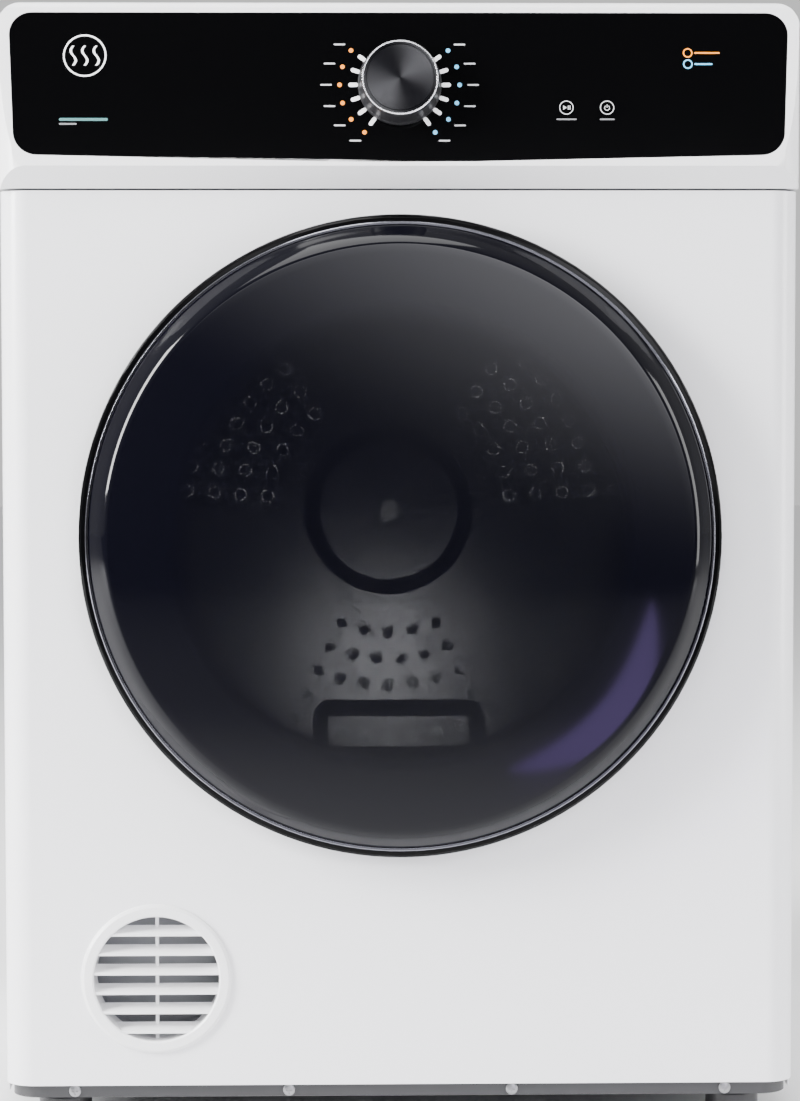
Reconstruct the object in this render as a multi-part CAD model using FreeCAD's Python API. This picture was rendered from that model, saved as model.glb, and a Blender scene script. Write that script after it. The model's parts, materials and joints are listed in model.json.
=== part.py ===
import FreeCAD, Part
import math
import os

# Front-loading vented clothes dryer, modelled at its real size in millimetres.
# X runs to the viewer's right, Y from the front to the back, Z up from the floor.
# The origin is the middle of the overall box, on the floor.

# ---------------------------------------------------------------- overall sizes
WIDTH = 595.0
HEIGHT = 845.0
DEPTH = 600.0
DOOR_PROUD = 50.0
REAR_COVER_BULGE = 10.0
REAR_COVER_SHARE = 0.6
FOOT_HEIGHT = 26.0
SHEET = 0.8

# ---------------------------------------------------------------- cabinet
BODY_CORNER_R = 22.0
FRONT_RETURN = 30.0
PANEL_GAP = 2.0
CONSOLE_HEIGHT = 138.0
SEAM = 1.5
WORKTOP_THICK = 32.0
WORKTOP_WALL = 3.0
WORKTOP_EDGE_R = 6.0
CONSOLE_TOP_DEPTH = 45.0
FRONT_PANEL_LIFT = 10.0
TRAY_INSET = 4.5
TRAY_SETBACK = 6.0
TRAY_WALL = 1.2
TRAY_HEIGHT = 32.0
SIDE_STAMP_DEPTH = 3.0
SIDE_STAMP_MARGIN = 90.0
SIDE_STAMP_R = 40.0
SCREW_HEAD_R = 4.5
SCREW_HEAD_H = 2.2
SCREW_SHANK_R = 1.9
SCREW_LENGTH = 5.5

# ---------------------------------------------------------------- control console
PANEL_TILT = 10.0
PANEL_DROP = 62.0
PANEL_LEAN = 2.3
PANEL_UP = 55.0
PANEL_DOWN = 53.0
PANEL_BOW = 5.0
PANEL_TOP_HALF = 288.5
PANEL_BOTTOM_HALF = 285.0
PANEL_TOP_R = 16.5
PANEL_BOTTOM_R = 18.0
PANEL_THICK = 3.0
PANEL_LEDGE = 8.0
FASCIA_WALL = 2.5
FASCIA_CORNER_R = 18.0
FASCIA_NOSE = 12.9
BOARD_SETBACK = 16.0
BOARD_THICK = 1.6

# ---------------------------------------------------------------- knob and buttons
KNOB_R = 28.4
KNOB_SKIRT_R = 31.0
KNOB_HEIGHT = 21.0
KNOB_GAP = 0.5
KNOB_FACE_THICK = 1.6
KNOB_SHAFT_R = 3.0
RUN_FIT = 0.05
TICK_RING_R = 34.3
TICK_LENGTH = 7.2
TICK_WIDTH = 3.1
LAMP_RING_R = 44.4
LAMP_R = 1.7
TICK_STEP = 18.0
TICKS_PER_SIDE = 6
TICK_FIRST = 54.0
BUTTON_R = 5.35
BUTTON_GAP = 0.3
BUTTON_PROUD = 0.5
BUTTON_TRAVEL = 1.2
BUTTON_X = (123.2, 153.3)
BUTTON_V = -17.3

# ---------------------------------------------------------------- door
DOOR_R = 238.0
DOOR_TOP_GAP = 18.5
DOOR_BACK_GAP = 2.0
DOOR_RING_WIDTH = 12.0
DOOR_RING_DEPTH = 24.0
TRIM_WIDTH = 2.6
WINDOW_THICK = 4.0
WINDOW_SHOULDER = 33.0
FRAME_THICK = 3.0
PORTHOLE_MARGIN = 71.0
PORTHOLE_INSET = 8.0
BOWL_THICK = 4.0
BOWL_APEX = 37.0
BOWL_WALL_WIDTH = 47.0
GASKET_WIDTH = 10.0
GASKET_ROOM = 9.8
RING_SEAT = 5.4
PIN_R = 2.0
LUG_R = 4.0
HINGE_INSET = 8.0
HINGE_FORWARD = 18.0
HINGE_ARM = 6.0
HINGE_REACH = 20.0
KNUCKLE_LENGTH = 12.0
BARREL_LENGTH = 28.0
KNUCKLE_GAP = 1.0
HOOK_THICK = 6.0
HOOK_HEIGHT = 14.0
HOOK_LENGTH = 26.0
GRIP_ANGLE = 14.0
GRIP_DEPTH = 13.0

# ---------------------------------------------------------------- drum and its supports
DRUM_SIDE_CLEARANCE = 16.7
DRUM_BASE_CLEARANCE = 143.0
DRUM_WALL = 0.8
COLLAR_R = 175.0
MOUTH_MARGIN = 63.0
COLLAR_WALL = 1.2
BULKHEAD_SETBACK = 63.0
BULKHEAD_THICK = 1.0
FELT_WIDTH = 14.0
FELT_GAP = 0.5
DRUM_FRONT_GAP = 6.0
DRUM_REAR_GAP = 57.0
HOLE_R = 4.0
HOLE_PITCH = 22.0
HOLE_ROWS = 6
HOLE_ROW_PITCH = 24
HOLE_FIRST_R = 110
DRUM_BACK_DISH = 7.0
DRUM_SHAFT_R = 10.0
DRUM_BUSH_R = 16.0
LIFTER_HEIGHT = 62.0
LIFTER_BASE = 70.0
ROLLER_R = 35.0
ROLLER_WIDTH = 24.0
ROLLER_ANGLE = 27.0
ROLLER_AXLE_R = 6.0
CLEARANCE = 0.3

# ---------------------------------------------------------------- lint filter and fan
FILTER_HALF = 100.0
FILTER_THICK = 16.0
FILTER_DEPTH = 55.0
FILTER_GRIP_HALF = 66.0
FILTER_GRIP_RISE = 50.0
DUCT_WALL = 2.0
MOTOR_X = 140.0
MOTOR_RISE = 94.0
MOTOR_R = 58.0
MOTOR_LENGTH = 150.0
MOTOR_SHAFT_R = 8.0
IMPELLER_R = 75.0
IMPELLER_WIDTH = 22.0
BLADES = 28
BLOWER_R = 90.0
BLOWER_DEPTH = 30.0
INLET_R = 45.0
VENT_X = -183.0
HEATER_X0 = -235.0
HEATER_X1 = -110.0
HEATER_WALL = 1.0
BLOWER_SETBACK = 33.0
VENT_RISE = 91.0
VENT_FLANGE_R = 56.5
VENT_OPEN_R = 47.0
VENT_SLATS = 6
VENT_PITCH = 14.7
SLAT_DEPTH = 15.0
SLAT_THICK = 2.0
SLAT_TILT = 17.0

# ---------------------------------------------------------------- belt drive
BELT_WIDTH = 18.0
BELT_THICK = 2.0
BELT_Y = 75.0
PULLEY_R = 11.0
IDLER_R = 20.0
IDLER_X = 72.0
IDLER_DROP = 14.0
ARM_PIVOT_X = 30.0
ARM_PIVOT_DROP = 50.0
ARM_THICK = 3.0
SPRING_R = 5.0
SPRING_WIRE = 0.9
SPRING_TURNS = 9

# ---------------------------------------------------------------- feet and mains inlet
FOOT_R = 20.0
FOOT_INSET_X = 42.0
FOOT_INSET_Y = 45.0
STUD_R = 5.0
STUD_LENGTH = 30.0
INLET_X = 225.0
INLET_Z = 125.0
CORD_BORE_R = 4.0

# ---------------------------------------------------------------- places worked out from them
HALF_W = WIDTH / 2
FRONT_Y = -DEPTH / 2 + DOOR_PROUD
REAR_Y = DEPTH / 2 - REAR_COVER_BULGE
BODY_BOTTOM = FOOT_HEIGHT
MOTOR_Z = BODY_BOTTOM + MOTOR_RISE
VENT_Z = BODY_BOTTOM + VENT_RISE
IDLER_Z = MOTOR_Z - IDLER_DROP
ARM_PIVOT_Z = MOTOR_Z - ARM_PIVOT_DROP
SEAM_Z = HEIGHT - CONSOLE_HEIGHT
PANEL_TOP_Z = SEAM_Z - SEAM
PANEL_BOTTOM_Z = BODY_BOTTOM + FRONT_PANEL_LIFT
CONSOLE_REAR_Y = FRONT_Y + CONSOLE_TOP_DEPTH
WORKTOP_Z = HEIGHT - WORKTOP_THICK
SIDE_FRONT_Y = FRONT_Y + FRONT_RETURN + PANEL_GAP
DOOR_Z = PANEL_TOP_Z - DOOR_TOP_GAP - DOOR_R
DRUM_ROOM_BELOW = DOOR_Z - BODY_BOTTOM - DRUM_BASE_CLEARANCE
DRUM_R = min(HALF_W - SHEET - DRUM_SIDE_CLEARANCE, DRUM_ROOM_BELOW)
REAR_COVER_R = DRUM_R * REAR_COVER_SHARE
BULKHEAD_Y = FRONT_Y + BULKHEAD_SETBACK
BULKHEAD_BACK = BULKHEAD_Y + BULKHEAD_THICK
BLOWER_FRONT_Y = BULKHEAD_Y - BLOWER_SETBACK
DRUM_FRONT_Y = BULKHEAD_BACK + DRUM_FRONT_GAP
DRUM_REAR_Y = REAR_Y - DRUM_REAR_GAP
MOUTH_R = min(COLLAR_R, DOOR_R - MOUTH_MARGIN)
DOOR_BACK_Y = FRONT_Y - DOOR_BACK_GAP
DOOR_RIM_Y = DOOR_BACK_Y - DOOR_RING_DEPTH
DOOR_APEX_Y = FRONT_Y - DOOR_PROUD
PORTHOLE_R = min(DOOR_R - PORTHOLE_MARGIN, MOUTH_R - PORTHOLE_INSET)
BOWL_FLOOR_R = PORTHOLE_R - BOWL_WALL_WIDTH
HINGE_X = -DOOR_R + HINGE_INSET
HINGE_Y = FRONT_Y - HINGE_FORWARD
PANEL_Y = FRONT_Y - PANEL_LEAN
PANEL_Z = HEIGHT - PANEL_DROP

V = FreeCAD.Vector
X_AXIS = V(1, 0, 0)
Y_AXIS = V(0, 1, 0)
Z_AXIS = V(0, 0, 1)


# ---------------------------------------------------------------- building blocks
def box(x0, x1, y0, y1, z0, z1):
    return Part.makeBox(x1 - x0, y1 - y0, z1 - z0, V(x0, y0, z0))


def rod(x, z, radius, y0, y1):
    return Part.makeCylinder(radius, y1 - y0, V(x, y0, z), Y_AXIS)


def tube(x, z, outer, inner, y0, y1):
    return rod(x, z, outer, y0, y1).cut(rod(x, z, inner, y0 - 1, y1 + 1))


def post(x, y, radius, z0, z1):
    return Part.makeCylinder(radius, z1 - z0, V(x, y, z0), Z_AXIS)


def prism(points, direction):
    """Extrude a closed outline of vectors along a vector."""
    return Part.Face(Part.makePolygon(points + [points[0]])).extrude(direction)


def plate_xz(outline, y0, y1):
    return prism([V(x, y0, z) for x, z in outline], V(0, y1 - y0, 0))


def turned(profile, x=0.0, z=0.0):
    """Turn a closed outline of (radius, y) points about an axis along Y."""
    points = [V(x + r, y, z) for r, y in profile]
    face = Part.Face(Part.makePolygon(points + [points[0]]))
    return face.revolve(V(x, 0, z), Y_AXIS, 360)


def arc(a, b, c):
    return Part.Arc(a, b, c).toShape()


def line(a, b):
    return Part.makeLine(a, b)


def sector(x, z, radius, start, stop, y0, y1):
    """A pie slice about an axis along Y, with its angles measured from +X towards +Z."""
    far = radius * 2
    steps = 6
    angles = [math.radians(start + (stop - start) * i / steps) for i in range(steps + 1)]
    rim = [(x + far * math.cos(a), z + far * math.sin(a)) for a in angles]
    return plate_xz([(x, z)] + rim, y0, y1)


def mirrored(shape):
    return shape.mirror(V(0, 0, 0), X_AXIS)


def around_y(shape, x, z, angle):
    copy = shape.copy()
    copy.rotate(V(x, 0, z), Y_AXIS, angle)
    return copy


def fused(shapes):
    return shapes[0].multiFuse(shapes[1:]).removeSplitter()


def save(name, *solids):
    shape = solids[0] if len(solids) == 1 else Part.makeCompound(list(solids))
    shape.exportStep("parts/" + name + ".step")


# ---------------------------------------------------------------- cabinet
def screw(x, y, z, direction):
    """A pan-head screw whose head sits outside, at the point, and whose shank goes in."""
    back = V(-direction.x, -direction.y, -direction.z)
    head = Part.makeCylinder(SCREW_HEAD_R, SCREW_HEAD_H, V(x, y, z), direction)
    shank = Part.makeCylinder(SCREW_SHANK_R, SCREW_LENGTH, V(x, y, z), back)
    return head.fuse(shank)


def base_tray():
    side = HALF_W - TRAY_INSET
    front = FRONT_Y + TRAY_SETBACK
    back = REAR_Y - 3
    wall = TRAY_WALL
    top = BODY_BOTTOM + TRAY_HEIGHT
    outer = plan_outline(side, front, back, BODY_CORNER_R, BODY_BOTTOM)
    outer = outer.extrude(V(0, 0, TRAY_HEIGHT))
    inner = plan_outline(side - wall, front + wall, back - wall, BODY_CORNER_R - wall,
                         tray_floor()).extrude(V(0, 0, TRAY_HEIGHT))
    tray = outer.cut(inner)
    for x, y in foot_places():
        tray = tray.fuse(post(x, y, 12, BODY_BOTTOM, BODY_BOTTOM + STUD_LENGTH - 4))
    for x, y in foot_places():
        tray = tray.cut(post(x, y, STUD_R + RUN_FIT, BODY_BOTTOM - 1, top + 1))
    return tray.cut(screw_holes())


def foot_places():
    side = HALF_W - FOOT_INSET_X
    front = FRONT_Y + FOOT_INSET_Y
    rear = REAR_Y - FOOT_INSET_Y
    return [(-side, front), (side, front), (-side, rear), (side, rear)]


def foot(x, y):
    pad = post(x, y, FOOT_R, 0, FOOT_HEIGHT - 4)
    pad = pad.makeFillet(2, pad.Edges)
    neck = post(x, y, 11, FOOT_HEIGHT - 5, FOOT_HEIGHT - 0.5)
    stud = post(x, y, STUD_R, FOOT_HEIGHT - 5, FOOT_HEIGHT + STUD_LENGTH)
    return fused([pad, neck, stud])


def side_panel():
    """The right-hand side: a sheet with a stamped field and returns at front, top and back."""
    out = HALF_W
    skin = out - SHEET
    top = WORKTOP_Z
    back = REAR_Y - SHEET
    sheet = box(skin, out, SIDE_FRONT_Y, back, BODY_BOTTOM, top)
    dish = side_stamp(skin - SIDE_STAMP_DEPTH, out, SIDE_STAMP_MARGIN - SIDE_STAMP_DEPTH)
    field = side_stamp(skin - SIDE_STAMP_DEPTH + SHEET, out + 1, SIDE_STAMP_MARGIN)
    above_tray = BODY_BOTTOM + TRAY_HEIGHT + 1
    front_return = box(out - 16, out, SIDE_FRONT_Y, SIDE_FRONT_Y + SHEET, above_tray, top)
    rear_return = box(out - 16, out, back - SHEET, back, BODY_BOTTOM, top)
    top_return = box(out - 16, out, SIDE_FRONT_Y, back, top - SHEET, top)
    panel = fused([sheet, dish, front_return, rear_return, top_return]).cut(field)
    console_zone = box(out - 20, out + 1, SIDE_FRONT_Y - 1, CONSOLE_REAR_Y + SEAM,
                       PANEL_TOP_Z, top + 1)
    return panel.cut(console_zone).cut(screw_holes())


def side_stamp(x0, x1, margin):
    """The stamped field's outline on a side panel, as a block with rounded corners."""
    back = REAR_Y - SHEET - margin
    block = box(x0, x1, SIDE_FRONT_Y + margin, back, BODY_BOTTOM + margin, WORKTOP_Z - margin)
    edges = [e for e in block.Edges if abs(e.tangentAt(0).x) > 0.9]
    return block.makeFillet(SIDE_STAMP_R, edges)


def rear_panel():
    side = HALF_W - 1.5
    sheet = box(-side, side, REAR_Y - SHEET, REAR_Y, BODY_BOTTOM, WORKTOP_Z - 1)
    cover_hole = rod(0, DOOR_Z, REAR_COVER_R, REAR_Y - 5, REAR_Y + 5)
    gland_hole = rod(INLET_X, INLET_Z, 8, REAR_Y - 5, REAR_Y + 5)
    return sheet.cut(cover_hole).cut(gland_hole).cut(screw_holes())


def rear_cover():
    """The round stamped cover over the back of the air plenum, with its intake slots."""
    rim = REAR_COVER_R + 22
    bulge = REAR_COVER_BULGE
    profile = [(0, REAR_Y + bulge), (rim - 40, REAR_Y + bulge), (rim - 26, REAR_Y + SHEET),
               (rim, REAR_Y + SHEET), (rim, REAR_Y), (rim - 26.5, REAR_Y),
               (rim - 40.5, REAR_Y + bulge - SHEET), (0, REAR_Y + bulge - SHEET)]
    cover = turned(profile, 0, DOOR_Z)
    slots = []
    for row in range(-4, 5):
        z = DOOR_Z + row * 18
        for side in (-1, 1):
            x = side * 62
            slots.append(box(x - 34, x + 34, REAR_Y + 2, REAR_Y + bulge + 1, z - 3, z + 3))
    return cover.cut(Part.makeCompound(slots)).cut(screw_holes())


def worktop():
    outer = box(-HALF_W, HALF_W, CONSOLE_REAR_Y + SEAM, REAR_Y, WORKTOP_Z, HEIGHT)
    edges = [e for e in outer.Edges if is_top_edge(e, CONSOLE_REAR_Y + SEAM)]
    outer = outer.makeFillet(WORKTOP_EDGE_R, edges)
    wall = WORKTOP_WALL
    inner = box(-HALF_W + wall, HALF_W - wall, CONSOLE_REAR_Y + SEAM + wall, REAR_Y - wall,
                WORKTOP_Z - 1, HEIGHT - 4 * wall)
    return outer.cut(inner)


def is_top_edge(edge, front):
    """The outer edges of the worktop's upper face, and its rear corners, but not its front."""
    low = edge.BoundBox
    on_front = low.YMax < front + 0.1
    on_top = low.ZMin > HEIGHT - 0.1
    rear_corner = low.YMin > REAR_Y - 0.1 and low.ZLength > 1
    return (on_top or rear_corner) and not on_front


def plan_outline(half, front, back, corner, z):
    """A U-shaped plan with rounded front corners, closed across the back, at a height."""
    r = corner
    k = r * (1 - math.sqrt(0.5))
    edges = [line(V(-half, back, z), V(-half, front + r, z)),
             arc(V(-half, front + r, z), V(-half + k, front + k, z), V(-half + r, front, z)),
             line(V(-half + r, front, z), V(half - r, front, z)),
             arc(V(half - r, front, z), V(half - k, front + k, z), V(half, front + r, z)),
             line(V(half, front + r, z), V(half, back, z)),
             line(V(half, back, z), V(-half, back, z))]
    return Part.Face(Part.Wire(edges))


def front_panel():
    back = FRONT_Y + FRONT_RETURN
    height = V(0, 0, PANEL_TOP_Z - PANEL_BOTTOM_Z)
    outer = plan_outline(HALF_W, FRONT_Y, back, BODY_CORNER_R, PANEL_BOTTOM_Z).extrude(height)
    inner = plan_outline(HALF_W - SHEET, FRONT_Y + SHEET, back + 1, BODY_CORNER_R - SHEET,
                         PANEL_BOTTOM_Z).extrude(height)
    wide = HALF_W - BODY_CORNER_R
    hem_low = box(-wide, wide, FRONT_Y, FRONT_Y + 5.5, PANEL_BOTTOM_Z, PANEL_BOTTOM_Z + SHEET)
    hem_high = box(-wide, wide, FRONT_Y, FRONT_Y + 14, PANEL_TOP_Z - SHEET, PANEL_TOP_Z)
    opening = door_opening_r()
    lip = tube(0, DOOR_Z, opening + SHEET, opening, FRONT_Y, FRONT_Y + 12)
    panel = fused([outer.cut(inner), hem_low, hem_high])
    panel = panel.cut(rod(0, DOOR_Z, opening, FRONT_Y - 1, FRONT_Y + 5)).fuse(lip)
    vent = rod(VENT_X, VENT_Z, VENT_OPEN_R + 2, FRONT_Y - 1, FRONT_Y + 5)
    hook_slot = box(opening + 4, opening + 24, FRONT_Y - 1, FRONT_Y + 5,
                    DOOR_Z - HOOK_HEIGHT / 2 - 3, DOOR_Z + HOOK_HEIGHT / 2 + 3)
    panel = panel.cut(vent).cut(hook_slot)
    for middle in knuckle_places():
        low = middle - KNUCKLE_LENGTH / 2 - 1
        high = middle + KNUCKLE_LENGTH / 2 + 1
        panel = panel.cut(box(HINGE_X + 6, HINGE_X + 28, FRONT_Y - 1, FRONT_Y + 5, low, high))
    return panel


def door_opening_r():
    return MOUTH_R + COLLAR_WALL + GASKET_WIDTH + GASKET_ROOM


def screw_holes():
    return Part.makeCompound(cabinet_screws())


def cabinet_screws():
    """The screws that show: the ones through the base rail and around the rear cover."""
    rail_z = PANEL_BOTTOM_Z - 5
    front = FRONT_Y + TRAY_SETBACK
    forward = V(0, -1, 0)
    rear = V(0, 1, 0)
    screws = [screw(side * x, front, rail_z, forward) for side in (-1, 1) for x in (84, 245)]
    ring = REAR_COVER_R + 14
    for i in range(8):
        a = math.radians(22.5 + 45 * i)
        place = (ring * math.cos(a), REAR_Y + SHEET, DOOR_Z + ring * math.sin(a))
        screws.append(screw(*place, rear))
    side = HALF_W - 12
    for x in (-side, side):
        for z in (BODY_BOTTOM + 60, DOOR_Z, WORKTOP_Z - 30):
            screws.append(screw(x, REAR_Y, z, rear))
    return screws


# ---------------------------------------------------------------- console
def to_panel(shape, v=0.0, x=0.0):
    """Carry a shape from panel axes (Z up the slope, -Y out of its face) to the machine."""
    copy = shape.copy()
    copy.translate(V(x, 0, v))
    copy.rotate(V(0, 0, 0), X_AXIS, -PANEL_TILT)
    copy.translate(V(0, PANEL_Y, PANEL_Z))
    return copy


def panel_point(v, out):
    """The (y, z) of a place up the panel's slope by v and out of its face by out."""
    a = math.radians(PANEL_TILT)
    y = PANEL_Y + v * math.sin(a) - out * math.cos(a)
    z = PANEL_Z + v * math.cos(a) + out * math.sin(a)
    return y, z


def console_body(inset):
    """The console's outer body, or the hollow inside it when inset by a wall."""
    y_top, z_top = panel_point(PANEL_UP + 2, -inset)
    y_low, z_low = panel_point(-PANEL_DOWN - PANEL_BOW - 3, -inset)
    top = HEIGHT - inset
    low = SEAM_Z + inset
    back = CONSOLE_REAR_Y
    round_r = HEIGHT - z_top
    corner_y = y_top + round_r * 1.2
    profile = [line(V(0, back, low), V(0, back, top)), line(V(0, back, top), V(0, corner_y, top)),
               arc(V(0, corner_y, top), V(0, y_top + round_r * 0.32, top - (top - z_top) * 0.26),
                   V(0, y_top, z_top)),
               line(V(0, y_top, z_top), V(0, y_low, z_low)),
               line(V(0, y_low, z_low), V(0, FRONT_Y + inset, low)),
               line(V(0, FRONT_Y + inset, low), V(0, back, low))]
    half = HALF_W - inset
    side = Part.Face(Part.Wire(profile))
    side.translate(V(-HALF_W, 0, 0))
    body = side.extrude(V(WIDTH, 0, 0))
    r = FASCIA_CORNER_R - inset
    k = r * (1 - math.sqrt(0.5))
    y0 = FRONT_Y - 40
    front = [line(V(-half, y0, low), V(-half, y0, top - r)),
             arc(V(-half, y0, top - r), V(-half + k, y0, top - k), V(-half + r, y0, top)),
             line(V(-half + r, y0, top), V(half - r, y0, top)),
             arc(V(half - r, y0, top), V(half - k, y0, top - k), V(half, y0, top - r)),
             line(V(half, y0, top - r), V(half, y0, low)), line(V(half, y0, low), V(-half, y0, low))]
    body = body.common(Part.Face(Part.Wire(front)).extrude(V(0, 120, 0)))
    plan = plan_outline(half, FRONT_Y - FASCIA_NOSE + inset, back, BODY_CORNER_R - inset, low)
    return body.common(plan.extrude(V(0, 0, top - low)))


def panel_outline(margin, y):
    """The face of the dark panel as a flat shape in panel axes, grown by a margin."""
    top = PANEL_UP + margin
    low = -PANEL_DOWN - margin
    bow = -PANEL_DOWN - PANEL_BOW - margin
    a = PANEL_TOP_HALF + margin
    b = PANEL_BOTTOM_HALF + margin
    r = PANEL_TOP_R + margin
    s = PANEL_BOTTOM_R + margin
    k = r * (1 - math.sqrt(0.5))
    j = s * (1 - math.sqrt(0.5))
    edges = [line(V(-a + r, y, top), V(a - r, y, top)),
             arc(V(a - r, y, top), V(a - k, y, top - k), V(a, y, top - r)),
             line(V(a, y, top - r), V(b, y, low + s)),
             arc(V(b, y, low + s), V(b - j, y, low + j), V(b - s, y, low)),
             arc(V(b - s, y, low), V(0, y, bow), V(-b + s, y, low)),
             arc(V(-b + s, y, low), V(-b + j, y, low + j), V(-b, y, low + s)),
             line(V(-b, y, low + s), V(-a, y, top - r)),
             arc(V(-a, y, top - r), V(-a + k, y, top - k), V(-a + r, y, top))]
    return Part.Face(Part.Wire(edges))


def console_fascia():
    shell = console_body(0).cut(console_body(FASCIA_WALL).fuse(console_rear_mouth()))
    depth = PANEL_THICK + FASCIA_WALL
    backing = to_panel(panel_outline(1.5, 0).extrude(V(0, depth, 0))).common(console_body(0))
    pocket = to_panel(panel_outline(0, -2).extrude(V(0, PANEL_THICK + 2, 0)))
    window = to_panel(panel_outline(-PANEL_LEDGE, 0).extrude(V(0, depth + 5, 0)))
    return shell.fuse(backing).cut(pocket).cut(window).removeSplitter()


def console_rear_mouth():
    wall = FASCIA_WALL
    return box(-HALF_W + wall, HALF_W - wall, CONSOLE_REAR_Y - 5, CONSOLE_REAR_Y + 5,
               SEAM_Z + wall, HEIGHT - wall)


def ring_angles():
    left = [180 - TICK_FIRST + 18 + TICK_STEP * i for i in range(TICKS_PER_SIDE)]
    right = [TICK_FIRST - 18 - TICK_STEP * i for i in range(TICKS_PER_SIDE)]
    return left + right


def tick(angle, y0, y1):
    half = (TICK_LENGTH - TICK_WIDTH) / 2
    r = TICK_WIDTH / 2
    bar = box(TICK_RING_R - half, TICK_RING_R + half, y0, y1, -r, r)
    ends = [rod(TICK_RING_R + side * half, 0, r, y0, y1) for side in (-1, 1)]
    return around_y(fused([bar] + ends), 0, 0, -angle)


def lamp(angle, y0, y1):
    return around_y(rod(LAMP_RING_R, 0, LAMP_R, y0, y1), 0, 0, -angle)


def dial_light_guides():
    """The clear guides round the dial: a bar at each time and a dot at each dryness."""
    shapes = [tick(a, 0, PANEL_THICK + 2) for a in ring_angles()]
    shapes += [lamp(a, 0, PANEL_THICK + 2) for a in ring_angles()]
    return [to_panel(shape) for shape in shapes]


def console_panel():
    plate = panel_outline(0, 0).extrude(V(0, PANEL_THICK, 0))
    holes = [tick(a, -1, PANEL_THICK + 1) for a in ring_angles()]
    holes += [lamp(a, -1, PANEL_THICK + 1) for a in ring_angles()]
    holes += [rod(x, BUTTON_V, BUTTON_R + BUTTON_GAP, -1, PANEL_THICK + 1) for x in BUTTON_X]
    holes.append(rod(0, 0, KNOB_SHAFT_R + 3, -1, PANEL_THICK + 1))
    return to_panel(plate.cut(Part.makeCompound(holes)))


def button(x):
    cap = rod(x, BUTTON_V, BUTTON_R, -BUTTON_PROUD, PANEL_THICK + 2)
    cap = cap.makeChamfer(0.3, [cap.Edges[0], cap.Edges[2]])
    stem = rod(x, BUTTON_V, 2, PANEL_THICK + 1, BOARD_SETBACK - BUTTON_TRAVEL - 3.3)
    return to_panel(cap.fuse(stem))


def knob_body():
    """The dark skirt with its core and the shaft that turns in the encoder."""
    base = -KNOB_GAP
    rim = -KNOB_HEIGHT + KNOB_FACE_THICK
    profile = [(0, base), (KNOB_SKIRT_R, base), (KNOB_SKIRT_R, base - 3.5),
               (KNOB_SKIRT_R - 1.4, base - 5.5), (KNOB_R + 0.4, rim + 2), (KNOB_R - 0.4, rim),
               (0, rim)]
    shaft = rod(0, 0, KNOB_SHAFT_R, base - 1, BOARD_SETBACK - 1)
    return to_panel(turned(profile).fuse(shaft))


def knob_face():
    base = -KNOB_HEIGHT + KNOB_FACE_THICK
    top = -KNOB_HEIGHT
    rim = KNOB_R - 1.2
    profile = [(0, base), (rim, base), (rim, top + 0.5), (rim - 0.6, top), (rim - 2.4, top),
               (rim - 3.0, top + 0.5), (0, top + 0.8)]
    return to_panel(turned(profile))


def control_board():
    """The board with its soldered encoder and switches, on posts behind the panel."""
    front = BOARD_SETBACK
    board = box(-70, 175, front, front + BOARD_THICK, -34, 34)
    encoder = rod(0, 0, 9, front - 8, front).cut(rod(0, 0, KNOB_SHAFT_R + RUN_FIT, front - 9,
                                                      front - 0.4))
    switches = [box(x - 3, x + 3, front - 3, front, BUTTON_V - 3, BUTTON_V + 3) for x in BUTTON_X]
    posts = [rod(x, v, 3, PANEL_THICK, front) for x in (-64, 100) for v in (-29, 29)]
    display = box(40, 90, front - 6, front, -10, 18)
    return to_panel(fused([board, encoder, display] + posts + switches))


# ---------------------------------------------------------------- door
def knuckle_places():
    offset = BARREL_LENGTH / 2 + KNUCKLE_GAP + KNUCKLE_LENGTH / 2
    return (DOOR_Z - offset, DOOR_Z + offset)


def hinge_pocket():
    """The room that the fixed arms take inside the door as it swings."""
    tall = BARREL_LENGTH / 2 + 2 * KNUCKLE_GAP + KNUCKLE_LENGTH
    low = DOOR_Z - tall - 1
    high = DOOR_Z + tall + 1
    room = box(HINGE_X - 20, HINGE_X + 36, HINGE_Y - 4.3, FRONT_Y + 1, low, high)
    barrel_room = post(HINGE_X, HINGE_Y, LUG_R + 0.8, low, high)
    return room.fuse(barrel_room)


def door_outer_ring():
    back = DOOR_BACK_Y
    rim = DOOR_RIM_Y
    inner = DOOR_R - DOOR_RING_WIDTH
    seat = DOOR_R - RING_SEAT
    profile = [(inner, back - 1), (inner + 2, back), (DOOR_R - 8, back), (DOOR_R - 2, back - 5),
               (DOOR_R, back - 10), (DOOR_R, back - 19), (DOOR_R - 0.7, rim + 2.2),
               (DOOR_R - 2.4, rim + 0.6), (seat, rim), (seat, rim + 5), (inner, rim + 5)]
    ring = turned(profile, 0, DOOR_Z)
    wedge = sector(0, DOOR_Z, DOOR_R, -GRIP_ANGLE, GRIP_ANGLE, back - 14, back + 2)
    grip = tube(0, DOOR_Z, DOOR_R + 5, DOOR_R - 9, back - GRIP_DEPTH, back + 1).common(wedge)
    return ring.cut(grip).cut(hinge_pocket())


def door_trim_ring():
    rim = DOOR_RIM_Y
    out = DOOR_R - RING_SEAT
    inner = out - TRIM_WIDTH
    profile = [(inner, rim + 5), (out, rim + 5), (out, rim - 0.3), (out - 0.7, rim - 1.0),
               (inner + 0.5, rim - 1.0), (inner, rim - 0.4)]
    return turned(profile, 0, DOOR_Z).cut(hinge_pocket())


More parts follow.
